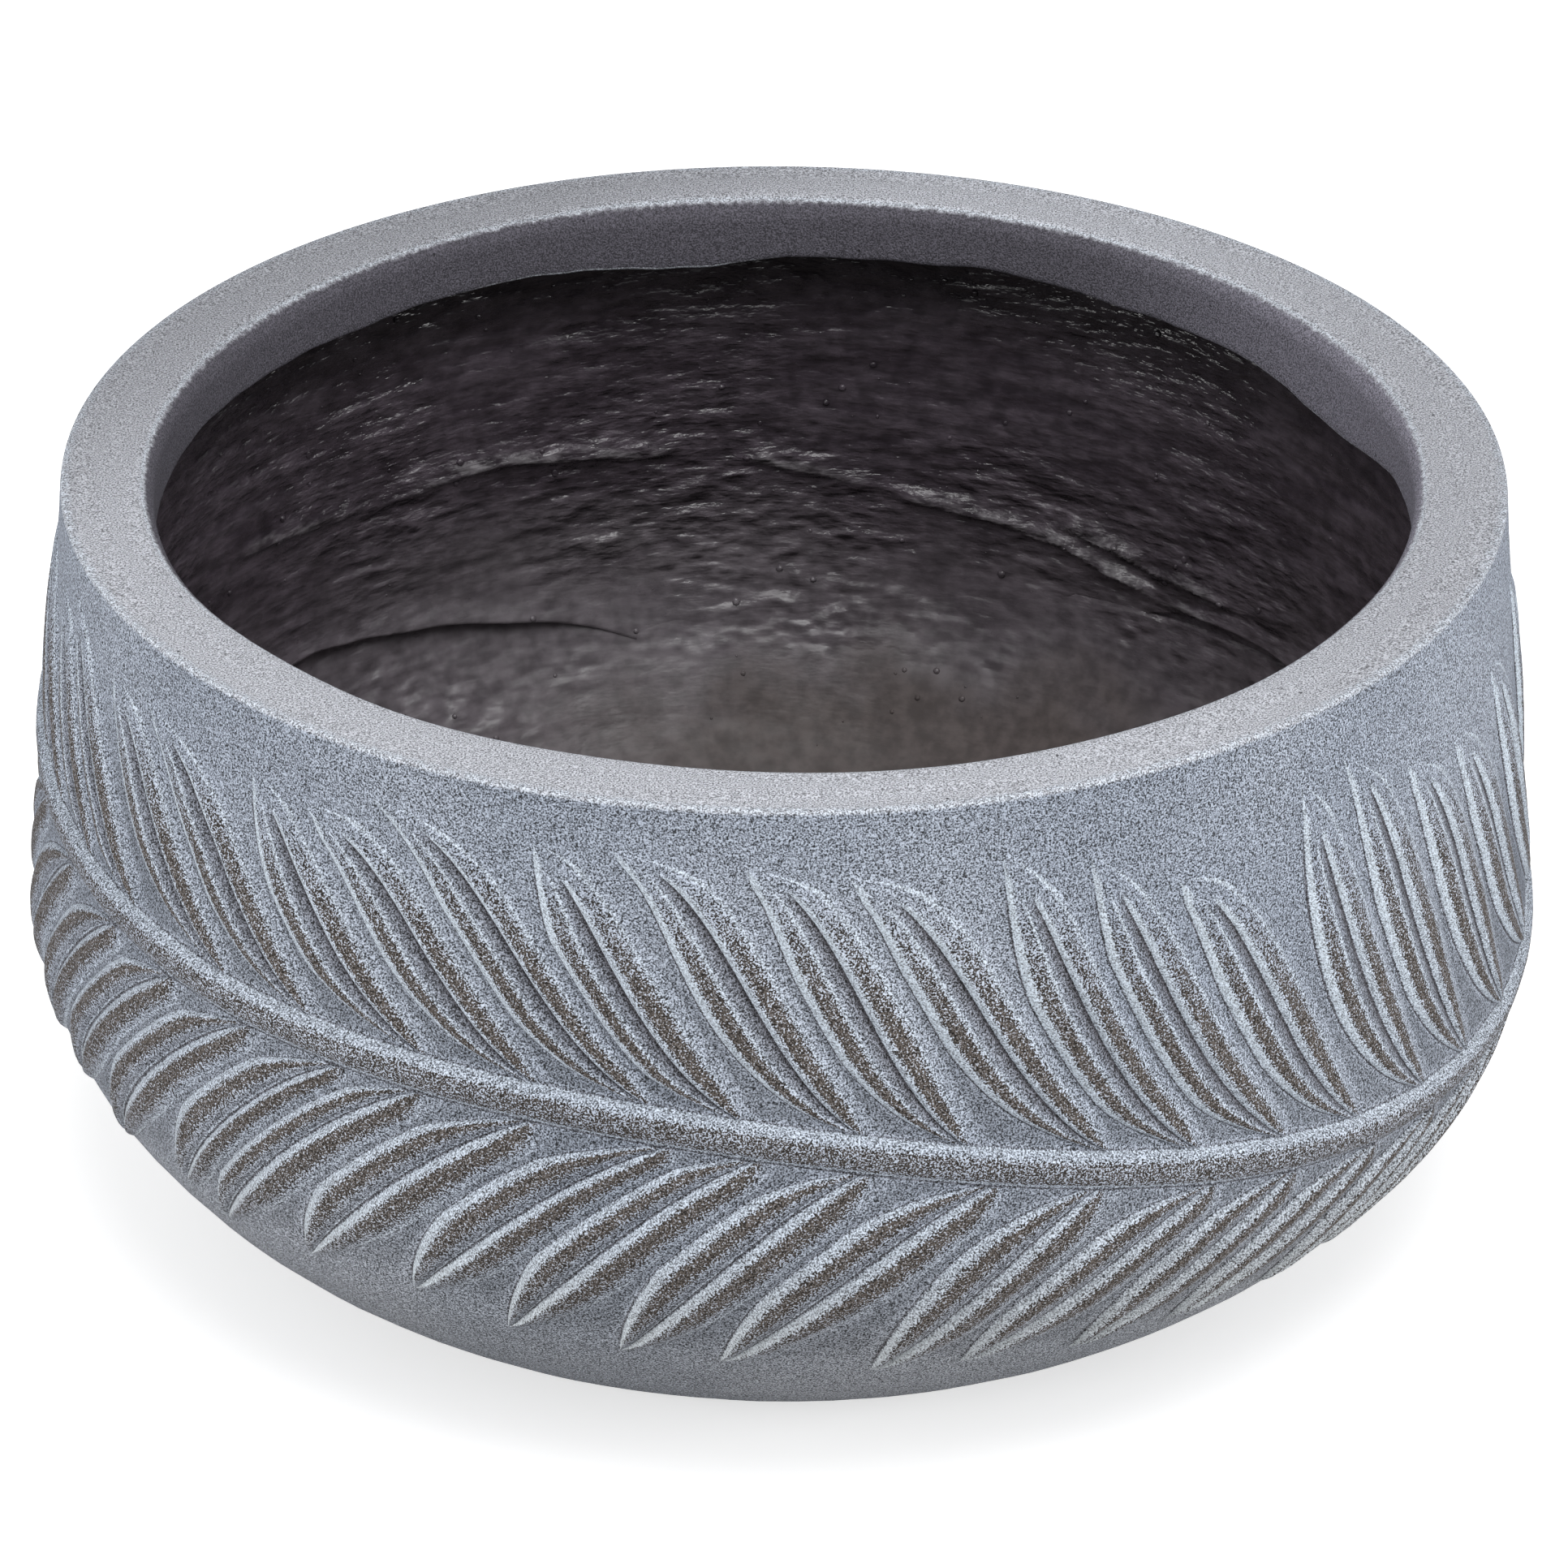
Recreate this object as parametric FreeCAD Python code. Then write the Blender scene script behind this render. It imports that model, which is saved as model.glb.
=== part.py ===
import FreeCAD, Part
import math
import os

# Driving dimensions of the bowl, in millimetres
height = 187.0
rim_radius = 164.5
belly_swell = 8.7
belly_height = 83.0
belly_round = 61.0
base_inset = 102.2
foot_margin = 15.0

# Lay-up of the wall, from the outside in
coat_thickness = 3.0
shell_thickness = 5.0
ply_thickness = 1.8
ply_bottom = 65.0
ply_lap = 14.0

# Rim band
rim_width = 21.5
rim_cap = 2.2
rim_outer_fillet = 0.8
rim_inner_fillet = 6.0
lip_depth = 17.0

# Drain hole and its plug
drain_radius = 12.0
plug_clearance = 0.3
plug_head_margin = 5.0
plug_head_height = 4.0
plug_head_bevel = 1.0
plug_taper = 1.0
plug_recess = 1.0

# Frond relief. Depths run down the wall from the rim's outer edge.
relief_root = 0.8
midrib_depth = 84.5
midrib_wave = 24.0
midrib_ripple = 6.0
midrib_width = 9.0
midrib_rise = 2.4
midrib_flat_share = 0.4
midrib_stations = 60
leaflet_width = 15.0
leaflet_rise = 1.8
leaflet_gap = 0.6
upper_tip_depth = 14.5
lower_tip_depth = 140.0
lower_tip_follow_share = 0.5

# Angles of the frond, in degrees from the front, growing to the right
full_turn_angle = 360.0
leaflet_count = 42
upper_start_angle = -63.7
lower_start_angle = -61.5
upper_lean_angle = 16.8
lower_lean_angle = 18.2

# One leaflet a row: its step along the midrib as a share of the pitch, then its lean, its reach and its hook
upper_leaflet_shares = (
    (-0.23, 0.67, 1.00, 0.3),
    (-0.33, 0.85, 1.10, 0.1),
    (0.05, 1.01, 0.98, 0.4),
    (0.05, 1.17, 0.98, 0.9),
    (0.25, 0.98, 0.99, 0.1),
    (0.28, 1.20, 0.93, 1.0),
    (0.27, 1.32, 1.06, 1.0),
    (0.05, 0.91, 1.03, 0.3),
    (0.08, 1.08, 1.04, 1.0),
    (-0.03, 0.94, 1.01, 0.9),
    (0.23, 1.13, 0.98, 0.8),
    (0.10, 0.88, 1.01, 0.2),
    (0.05, 0.95, 0.97, 0.2),
    (-0.06, 0.97, 0.85, 0.7),
    (-0.05, 0.77, 0.98, 0.0),
    (-0.25, 1.01, 1.00, 0.9),
    (-0.25, 0.93, 0.88, 0.8),
    (-0.18, 1.01, 0.84, 0.6),
    (-0.10, 1.05, 0.90, 0.5),
    (0.00, 0.95, 0.96, 0.7),
    (-0.10, 0.80, 1.00, 0.4),
)
lower_leaflet_shares = (
    (0.09, 0.91, 0.95, 0.0),
    (0.07, 0.97, 0.95, 0.0),
    (0.12, 1.11, 1.06, 0.0),
    (0.15, 0.98, 0.95, 0.0),
    (-0.05, 1.15, 1.06, 0.0),
    (0.02, 1.10, 0.98, 0.0),
    (0.20, 1.11, 0.94, 0.0),
    (-0.05, 1.05, 1.03, 0.0),
    (-0.14, 0.99, 1.05, 0.0),
    (-0.03, 1.08, 1.03, 0.0),
    (-0.09, 0.87, 1.09, 0.0),
    (0.01, 0.99, 1.03, 0.0),
    (-0.08, 0.88, 1.07, 0.0),
    (-0.02, 0.87, 1.01, 0.0),
    (-0.03, 0.75, 1.06, 0.0),
    (0.05, 0.85, 1.00, 0.0),
    (0.00, 0.95, 0.96, 0.0),
    (-0.05, 1.00, 1.00, 0.0),
    (0.04, 0.92, 1.04, 0.0),
    (0.00, 1.02, 0.98, 0.0),
    (0.06, 0.96, 1.02, 0.0),
)

# Bends of a leaflet's middle line, as shares of its lean and reach, for a straight and for a hooked tip
upper_bend_shares = (((0.50, 0.25), (0.72, 0.70)), ((0.36, 0.30), (0.50, 0.95)))
lower_bend_shares = (((0.36, 0.16), (0.75, 0.62)), ((0.36, 0.16), (0.75, 0.62)))

# Stations of a blade: place along it, then the shares of its full width, rise and groove floor there
blade_shares = (
    (0.14, 0.60, 0.80, 0.50),
    (0.34, 1.00, 1.00, 0.25),
    (0.58, 1.00, 1.00, 0.20),
    (0.80, 0.72, 0.70, 0.55),
)

# Places across a blade, as shares of its half width: leading ridge, groove floor and trailing ridge
leading_crest_share = 0.72
groove_place_share = 0.12
trailing_crest_share = 0.50
tangent_step_share = 0.01

axis_up = FreeCAD.Vector(0, 0, 1)
origin = FreeCAD.Vector(0, 0, 0)

# Outline of the bowl: a straight wall, the belly's arc and the base's arc, each tangent to the next
belly_radius = rim_radius + belly_swell
base_round_radius = belly_radius - base_inset
belly_centre = (belly_radius - belly_round, belly_height)
rim_reach = (rim_radius - belly_centre[0], height - belly_centre[1])
rim_distance = math.hypot(*rim_reach)
wall_angle = math.atan2(rim_reach[1], rim_reach[0]) - math.acos(belly_round / rim_distance)
wall_length = math.sqrt(rim_distance ** 2 - belly_round ** 2)
base_span = belly_centre[0] - base_round_radius
base_round = (base_span ** 2 + belly_height ** 2 - belly_round ** 2) / (2 * (belly_height - belly_round))
base_centre = (base_round_radius, base_round)
join_angle = math.atan2(belly_height - base_round, base_span)
belly_length = belly_round * (wall_angle - join_angle)
foot_radius = base_round_radius + foot_margin
seam_height = height - rim_cap
lip_height = height - lip_depth
floor_top = coat_thickness + shell_thickness
lap_height = ply_bottom + ply_lap


def polar(centre, radius, angle):
    """Point of a circle in the outline's plane."""
    x = centre[0] + radius * math.cos(angle)
    return FreeCAD.Vector(x, 0, centre[1] + radius * math.sin(angle))


def arc(centre, radius, start, end):
    """Arc edge of the outline from one angle to another."""
    middle = (start + end) / 2
    return Part.Arc(*(polar(centre, radius, angle) for angle in (start, middle, end))).toShape()


def line(start, end):
    return Part.LineSegment(start, end).toShape()


def wall_point(inset, level):
    """Point of the straight wall at a height, set in from the outside by the lay-up so far."""
    tangent = polar(belly_centre, belly_round - inset, wall_angle)
    return FreeCAD.Vector(tangent.x - (level - tangent.z) * math.tan(wall_angle), 0, level)


def foot_angle(inset):
    """Angle on the base's arc where it meets the foot's rim."""
    return -math.acos(foot_margin / (base_round - inset))


def bowl_edges(inset, top, end_angle):
    """Wall, belly and base of the outline at an inset, from a height down to an angle on the base's arc."""
    belly = belly_round - inset
    base = base_round - inset
    return [
        line(wall_point(inset, top), polar(belly_centre, belly, wall_angle)),
        arc(belly_centre, belly, wall_angle, join_angle),
        arc(base_centre, base, join_angle, end_angle),
    ]


def turned(edges):
    """Solid of revolution of a closed outline."""
    outline = Part.Wire(Part.__sortEdges__(edges))
    return Part.Face(outline).revolve(origin, axis_up, full_turn_angle)


def band(outer_inset, inner_inset, top):
    """Even layer of the lay-up between two insets, open at the foot."""
    outer_foot = polar(base_centre, base_round - outer_inset, foot_angle(outer_inset))
    inner_foot = polar(base_centre, base_round - inner_inset, foot_angle(inner_inset))
    edges = bowl_edges(outer_inset, top, foot_angle(outer_inset))
    edges += bowl_edges(inner_inset, top, foot_angle(inner_inset))
    edges.append(line(outer_foot, inner_foot))
    edges.append(line(wall_point(inner_inset, top), wall_point(outer_inset, top)))
    return turned(edges)


def surface_point(angle, depth, rise):
    """Point over the outside of the bowl: angle round it, depth down the wall and rise off the surface."""
    if depth < wall_length:
        tilt = wall_angle
        start = wall_point(0, height)
        radius = start.x + depth * math.sin(tilt)
        level = start.z - depth * math.cos(tilt)
    elif depth < wall_length + belly_length:
        tilt = wall_angle - (depth - wall_length) / belly_round
        place = polar(belly_centre, belly_round, tilt)
        radius, level = place.x, place.z
    else:
        tilt = join_angle - (depth - wall_length - belly_length) / base_round
        place = polar(base_centre, base_round, tilt)
        radius, level = place.x, place.z
    radius += rise * math.cos(tilt)
    turn = math.radians(angle)
    return FreeCAD.Vector(radius * math.sin(turn), -radius * math.cos(turn), level + rise * math.sin(tilt))


def midrib_line(angle):
    """Depth of the midrib's middle: one slow wave round the bowl and a ripple of three."""
    turn = math.radians(angle)
    return midrib_depth + midrib_wave * math.sin(turn) - midrib_ripple * math.cos(3 * turn)


def skinned(rings, closed):
    """Solid skinned over rings of points. A ring of one point ends it in a tip."""
    pairs = list(zip(rings, rings[1:]))
    if closed:
        pairs.append((rings[-1], rings[0]))
    faces = []
    for ring, following in pairs:
        sides = max(len(ring), len(following))
        for side in range(sides):
            across = (side + 1) % sides
            if len(ring) == 1:
                corners = [ring[0], following[side], following[across], ring[0]]
                faces.append(Part.Face(Part.makePolygon(corners)))
            elif len(following) == 1:
                corners = [ring[side], following[0], ring[across], ring[side]]
                faces.append(Part.Face(Part.makePolygon(corners)))
            else:
                first = line(ring[side], ring[across])
                second = line(following[side], following[across])
                faces.append(Part.makeRuledSurface(first, second))
    solid = Part.Solid(Part.Shell(faces))
    if solid.Volume < 0:
        solid.reverse()
    return solid


def midrib():
    """Stalk of the frond, a flat-topped ridge once round the bowl."""
    half_width = midrib_width / 2
    half_flat = half_width * midrib_flat_share
    section = (
        (-half_width, -relief_root),
        (-half_flat, midrib_rise),
        (half_flat, midrib_rise),
        (half_width, -relief_root),
    )
    rings = []
    for station in range(midrib_stations):
        angle = full_turn_angle * station / midrib_stations
        middle = midrib_line(angle)
        rings.append([surface_point(angle, middle + offset, rise) for offset, rise in section])
    return skinned(rings, True)


def bezier(points, share):
    """Point of a cubic curve in the plane of angle and depth."""
    rest = 1 - share
    weights = (rest ** 3, 3 * rest ** 2 * share, 3 * rest * share ** 2, share ** 3)
    return tuple(sum(weight * point[axis] for weight, point in zip(weights, points)) for axis in (0, 1))


def leaflet_line(root, tip, bends, hook):
    """Control points of a leaflet's middle line, between its straight and its hooked form."""
    points = [root]
    for straight, hooked in zip(*bends):
        shares = [plain + (bent - plain) * hook for plain, bent in zip(straight, hooked)]
        points.append(tuple(start + (end - start) * share for start, end, share in zip(root, tip, shares)))
    return points + [tip]


def blade(points, leading):
    """Pointed leaflet of two ridges, each steep on its leading side, with a groove between."""
    rings = [[surface_point(*points[0], -relief_root)]]
    for along, width_share, rise_share, groove_share in blade_shares:
        angle, depth = bezier(points, along)
        ahead_angle, ahead_depth = bezier(points, along + tangent_step_share)
        place = surface_point(angle, depth, 0)
        radius = math.hypot(place.x, place.y)
        run = math.radians(ahead_angle - angle) * radius
        drop = ahead_depth - depth
        length = math.hypot(run, drop)
        half_width = leaflet_width * width_share / 2
        rise = leaflet_rise * rise_share
        section = (
            (half_width, -relief_root),
            (half_width * leading_crest_share, rise),
            (-half_width * groove_place_share, rise * groove_share),
            (-half_width * trailing_crest_share, rise),
            (-half_width, -relief_root),
        )
        ring = []
        for reach, lift in section:
            offset = reach * leading
            side_angle = angle - math.degrees(offset * drop / length / radius)
            ring.append(surface_point(side_angle, depth + offset * run / length, lift))
        rings.append(ring)
    rings.append([surface_point(*points[-1], -relief_root)])
    return skinned(rings, False)


def leaflet_row(upper):
    """All leaflets on one side of the midrib, with the shares' rows used in turn."""
    shares = upper_leaflet_shares if upper else lower_leaflet_shares
    bends = upper_bend_shares if upper else lower_bend_shares
    start = upper_start_angle if upper else lower_start_angle
    lean = upper_lean_angle if upper else lower_lean_angle
    leading = -1 if upper else 1
    root_offset = midrib_width / 2 + leaflet_gap
    pitch = full_turn_angle / leaflet_count
    row = []
    for index in range(leaflet_count):
        step_share, lean_share, reach_share, hook = shares[index % len(shares)]
        angle = start + pitch * (index + step_share)
        middle = midrib_line(angle)
        if upper:
            tip_depth = upper_tip_depth
            root = (angle, middle - root_offset)
        else:
            tip_depth = lower_tip_depth + lower_tip_follow_share * (middle - midrib_depth)
            root = (angle, middle + root_offset)
        tip = (angle - lean * lean_share, middle + (tip_depth - middle) * reach_share)
        row.append(blade(leaflet_line(root, tip, bends, hook), leading))
    return row


def face_coat():
    """Cast outer skin of the bowl with the frond relief in it."""
    skin = band(0, coat_thickness, seam_height)
    relief = [midrib()] + leaflet_row(True) + leaflet_row(False)
    return skin.multiFuse(relief)


def slab(bottom, top):
    """Disc between two heights, wider than the bowl."""
    return Part.makeCylinder(2 * belly_radius, top - bottom, FreeCAD.Vector(0, 0, bottom))


def lay_up():
    """Whole glass-fibre shell: wall and floor, ground flat at the foot, with the drain hole."""
    outer_foot = polar(base_centre, base_round - coat_thickness, foot_angle(coat_thickness))
    foot_corner = FreeCAD.Vector(foot_radius, 0, 0)
    drain_foot = FreeCAD.Vector(drain_radius, 0, 0)
    drain_top = FreeCAD.Vector(drain_radius, 0, floor_top)
    floor_edge = FreeCAD.Vector(base_round_radius, 0, floor_top)
    edges = bowl_edges(coat_thickness, seam_height, foot_angle(coat_thickness))
    edges += bowl_edges(floor_top, seam_height, -math.pi / 2)
    edges.append(line(outer_foot, foot_corner))
    edges.append(line(foot_corner, drain_foot))
    edges.append(line(drain_foot, drain_top))
    edges.append(line(drain_top, floor_edge))
    edges.append(line(wall_point(floor_top, seam_height), wall_point(coat_thickness, seam_height)))
    return turned(edges)


def fibre_base():
    """Dish of the shell below the joint that the ply laps over."""
    return lay_up().common(slab(0, lap_height))


def fibre_wall():
    """Ring of the shell above that joint."""
    return lay_up().common(slab(lap_height, height))


def wall_ply():
    """Second ply on the inside of the wall, from under the lip to its cut edge below the joint."""
    return band(floor_top, floor_top + ply_thickness, lip_height).common(slab(ply_bottom, lip_height))


def rim_band():
    """Thick flat rim that caps the wall, with its return lip against the inside of the wall."""
    inner_radius = rim_radius - rim_width
    outer_corner = FreeCAD.Vector(rim_radius - rim_outer_fillet, 0, height)
    outer_side = wall_point(0, height - rim_outer_fillet)
    outer_bulge = 1 - math.sqrt(2) / 2
    outer_middle = FreeCAD.Vector(
        rim_radius - rim_outer_fillet * outer_bulge, 0, height - rim_outer_fillet * outer_bulge)
    inner_centre = (inner_radius + rim_inner_fillet, height - rim_inner_fillet)
    inner_top = polar(inner_centre, rim_inner_fillet, math.pi / 2)
    inner_side = polar(inner_centre, rim_inner_fillet, math.pi)
    lip_inner = FreeCAD.Vector(inner_radius, 0, lip_height)
    edges = [
        line(inner_top, outer_corner),
        Part.Arc(outer_corner, outer_middle, outer_side).toShape(),
        line(outer_side, wall_point(0, seam_height)),
        line(wall_point(0, seam_height), wall_point(floor_top, seam_height)),
        line(wall_point(floor_top, seam_height), wall_point(floor_top, lip_height)),
        line(wall_point(floor_top, lip_height), lip_inner),
        line(lip_inner, inner_side),
        arc(inner_centre, rim_inner_fillet, math.pi, math.pi / 2),
    ]
    return turned(edges)


def drain_plug():
    """Tapered rubber bung with a bevelled head that lies on the floor."""
    seat = floor_top + plug_clearance
    crown = seat + plug_head_height
    head_radius = drain_radius + plug_head_margin
    shank_top = drain_radius - plug_clearance
    outline = (
        (0, plug_recess),
        (shank_top - plug_taper, plug_recess),
        (shank_top, seat),
        (head_radius, seat),
        (head_radius, crown - plug_head_bevel),
        (head_radius - plug_head_bevel, crown),
        (0, crown),
    )
    corners = [FreeCAD.Vector(radius, 0, level) for radius, level in outline]
    return turned([line(start, end) for start, end in zip(corners, corners[1:] + corners[:1])])


pieces = {
    "face_coat": face_coat(),
    "fibre_base": fibre_base(),
    "fibre_wall": fibre_wall(),
    "rim_band": rim_band(),
    "wall_ply": wall_ply(),
    "drain_plug": drain_plug(),
}

os.makedirs("parts", exist_ok=True)
for node, shape in pieces.items():
    shape.exportStep("parts/" + node + ".step")
    print(node, len(shape.Solids), "solid", round(shape.Volume / 1000), "cubic centimetres", shape.isValid())
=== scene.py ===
# %% [markdown]
# # A fibreclay planter bowl
#
# The planter is a low garden bowl, made by hand in a mould: a thin grey cement skin with a frond cast into
# it, a dark glass-fibre lining brushed on from inside, and a thick flat rim. The CAD model has these layers
# as plain solids. This lesson loads them as a fixed frame and dresses them with the marks that the hand and
# the mould leave.

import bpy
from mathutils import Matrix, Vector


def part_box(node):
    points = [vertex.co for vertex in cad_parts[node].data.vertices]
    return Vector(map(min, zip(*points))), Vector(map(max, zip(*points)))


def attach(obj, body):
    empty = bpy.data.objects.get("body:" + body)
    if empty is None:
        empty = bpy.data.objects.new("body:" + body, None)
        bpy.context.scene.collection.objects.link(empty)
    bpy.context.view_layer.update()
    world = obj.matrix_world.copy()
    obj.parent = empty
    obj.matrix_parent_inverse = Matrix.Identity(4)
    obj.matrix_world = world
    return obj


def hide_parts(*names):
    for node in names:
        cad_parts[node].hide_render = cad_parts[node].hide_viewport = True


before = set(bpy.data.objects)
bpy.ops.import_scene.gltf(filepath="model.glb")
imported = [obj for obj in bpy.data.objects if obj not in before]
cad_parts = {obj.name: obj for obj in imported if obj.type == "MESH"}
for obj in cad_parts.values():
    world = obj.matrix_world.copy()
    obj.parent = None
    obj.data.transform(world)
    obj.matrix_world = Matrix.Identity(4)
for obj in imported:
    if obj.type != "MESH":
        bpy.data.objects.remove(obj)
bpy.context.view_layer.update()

# %% Other modules
import math

import bpy
import numpy as np
from mathutils import Matrix, Vector, noise

scene = bpy.context.scene

# %% [markdown]
# ## The outline of the bowl
#
# Every layer follows one outline: a straight wall, the arc of the belly and the arc of the base. Depth is
# measured down the outside from the rim's sharp edge, and angle from the front, growing to the right. With
# these two numbers and a rise off the surface, any mark can be put anywhere on the bowl.

# %% Driving sizes in metres, as in the CAD source
rim_low, rim_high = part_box("rim_band")
height = rim_high.z
rim_radius = 0.1645
belly_swell = 0.0087
belly_height = 0.083
belly_round = 0.061
base_inset = 0.1022
foot_margin = 0.015
coat_thickness = 0.003
shell_thickness = 0.005
ply_thickness = 0.0018
lip_height = rim_low.z
seam_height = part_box("fibre_wall")[1].z
lap_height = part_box("fibre_wall")[0].z
print("height", round(height, 4), "lip", round(lip_height, 4))

# %% Outline worked out from the sizes
belly_radius = rim_radius + belly_swell
base_radius = belly_radius - base_inset
belly_middle = belly_radius - belly_round
rim_distance = math.hypot(rim_radius - belly_middle, height - belly_height)
rim_slope = math.atan2(height - belly_height, rim_radius - belly_middle)
wall_tilt = rim_slope - math.acos(belly_round / rim_distance)
wall_length = math.sqrt(rim_distance ** 2 - belly_round ** 2)
base_span = belly_middle - base_radius
base_round = (base_span ** 2 + belly_height ** 2 - belly_round ** 2) / (2 * (belly_height - belly_round))
join_tilt = math.atan2(belly_height - base_round, base_span)
belly_length = belly_round * (wall_tilt - join_tilt)
base_depth = wall_length + belly_length + base_round * (join_tilt + math.pi / 2)
foot_depth = base_depth - base_round * math.asin(foot_margin / base_round)
seam_depth = (height - seam_height) / math.cos(wall_tilt)
floor_inset = coat_thickness + shell_thickness
depth_samples = 2000
print("wall tilt", round(math.degrees(wall_tilt), 2), "degrees")


# %% Points on the outline
def outline(depth):
    """Radius, height and tilt of the outside at a depth."""
    depth = np.asarray(depth, float)
    belly_tilt = wall_tilt - (depth - wall_length) / belly_round
    base_tilt = join_tilt - (depth - wall_length - belly_length) / base_round
    places = [depth < wall_length, depth < wall_length + belly_length]
    tilt = np.select(places, [np.full_like(depth, wall_tilt), belly_tilt], base_tilt)
    radius = np.select(
        places,
        [rim_radius + depth * math.sin(wall_tilt), belly_middle + belly_round * np.cos(tilt)],
        base_radius + base_round * np.cos(tilt),
    )
    level = np.select(
        places,
        [height - depth * math.cos(wall_tilt), belly_height + belly_round * np.sin(tilt)],
        base_round + base_round * np.sin(tilt),
    )
    return radius, level, tilt


def around(angle, radius, level):
    """Points at an angle in degrees from the front."""
    turn = np.radians(angle)
    return np.stack([radius * np.sin(turn), -radius * np.cos(turn), level + 0 * turn], axis=-1)


def on_bowl(angle, depth, rise):
    """Points over the outside, or inside it where the rise is negative."""
    radius, level, tilt = outline(depth)
    return around(angle, radius + rise * np.cos(tilt), level + rise * np.sin(tilt))


def depth_at(level, inset=0.0):
    """Depth where a layer inside the bowl passes a height."""
    depths = np.linspace(0, base_depth, depth_samples)
    radius, levels, tilt = outline(depths)
    return np.interp(-np.asarray(level, float), -(levels - inset * np.sin(tilt)), depths)


print("belly's widest depth", round(float(depth_at(belly_height)), 4))


# %% [markdown]
# ## Meshes from rows of points
#
# Most layers are rings, so one helper turns a table of points into a closed mesh: each row is a ring round
# the bowl, and the last row joins the first. A ring's columns wrap round, so no seam is left open.

# %% Ring mesh helper
def place_object(name, data):
    """New object in the scene, at the origin."""
    made = bpy.data.objects.new(name, data)
    scene.collection.objects.link(made)
    return made


def ring_mesh(name, points):
    """Closed mesh from rows of points round the bowl, with its faces turned outwards."""
    rows, columns = points.shape[:2]
    row, column = np.meshgrid(np.arange(rows), np.arange(columns), indexing="ij")
    below = (row + 1) % rows
    beside = (column + 1) % columns
    corners = [(row, column), (row, beside), (below, beside), (below, column)]
    quads = np.stack([line * columns + place for line, place in corners], axis=-1).reshape(-1, 4)
    flat = points.reshape(-1, 3)
    first, second, third = flat[quads[:, 0]], flat[quads[:, 1]], flat[quads[:, 2]]
    if np.einsum("ij,ij->", first, np.cross(second, third)) < 0:
        quads = quads[:, ::-1]
    mesh = bpy.data.meshes.new(name)
    mesh.from_pydata(flat.tolist(), [], quads.tolist())
    mesh.shade_smooth()
    return place_object(name, mesh)


def paint(piece, name, values):
    """Point attribute for the finishes: a number or a direction at each point."""
    kind = "FLOAT" if values.ndim == 2 else "FLOAT_VECTOR"
    attribute = piece.data.attributes.new(name, kind, "POINT")
    field = "value" if kind == "FLOAT" else "vector"
    attribute.data.foreach_set(field, np.ascontiguousarray(values, np.float32).ravel())


# %% Smooth curves and hand wobble
def eased(stations, places):
    """Smooth curve through a few stations."""
    known, values = np.array(stations, float).T
    slopes = np.gradient(values, known)
    places = np.clip(places, known[0], known[-1])
    left = np.clip(np.searchsorted(known, places) - 1, 0, len(known) - 2)
    span = known[left + 1] - known[left]
    share = (places - known[left]) / span
    blend = share * share * (3 - 2 * share)
    start = slopes[left] * span * share * (1 - share) ** 2
    end = slopes[left + 1] * span * share * share * (1 - share)
    return values[left] * (1 - blend) + values[left + 1] * blend + start - end


def smooth(low, high, values):
    """Smooth step from 0 to 1 between two values."""
    share = np.clip((values - low) / (high - low), 0, 1)
    return share * share * (3 - 2 * share)


def wobble(angle, size, slowest, fastest, seed):
    """Uneven line round the bowl, as a hand leaves it: waves from slow to fast, weaker as they get faster."""
    random = np.random.RandomState(seed)
    total = np.zeros_like(angle)
    for waves in range(slowest, fastest + 1):
        total += random.normal() * np.cos(waves * np.radians(angle) + random.uniform(0, 2 * math.pi)) / waves
    return size * total / np.abs(total).max()


# %% [markdown]
# ## The frond
#
# A midrib waves round the bowl with leaflets above and below, each a pointed blade of two rounded ridges
# with a groove between. A plain grid would cut across the blades and blur them, so the grid follows the
# leaflets: its columns run along each blade from root to tip, and crowd together at the ridges, the groove
# and the sharp edges.

# %% Sizes of the frond, as in the CAD source
midrib_depth = 0.0845
midrib_wave = 0.024
midrib_ripple = 0.006
midrib_width = 0.009
midrib_rise = 0.0024
leaflet_width = 0.015
leaflet_rise = 0.0018
leaflet_gap = 0.0006
upper_tip_depth = 0.0145
lower_tip_depth = 0.140
lower_tip_follow_share = 0.5
leaflet_count = 42
upper_start = -63.7
lower_start = -61.5
upper_lean = 16.8
lower_lean = 18.2
root_offset = midrib_width / 2 + leaflet_gap
pitch = 360 / leaflet_count
print("pitch", round(pitch, 2), "degrees")

# %% Each leaflet's step along the midrib as a share of the pitch, then its lean, its reach and any hook
upper_leaflet_shares = (
    (-0.23, 0.67, 1, 0.3), (-0.33, 0.85, 1.1, 0.1), (0.05, 1.01, 0.98, 0.4), (0.05, 1.17, 0.98, 0.9),
    (0.25, 0.98, 0.99, 0.1), (0.28, 1.2, 0.93, 1), (0.27, 1.32, 1.06, 1), (0.05, 0.91, 1.03, 0.3),
    (0.08, 1.08, 1.04, 1), (-0.03, 0.94, 1.01, 0.9), (0.23, 1.13, 0.98, 0.8), (0.1, 0.88, 1.01, 0.2),
    (0.05, 0.95, 0.97, 0.2), (-0.06, 0.97, 0.85, 0.7), (-0.05, 0.77, 0.98, 0), (-0.22, 0.92, 1, 0.6),
    (-0.25, 0.93, 0.88, 0.8), (-0.18, 1.01, 0.84, 0.6), (-0.1, 1.05, 0.9, 0.5), (0, 0.95, 0.96, 0.7),
    (-0.1, 0.8, 1, 0.4),
)
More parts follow.
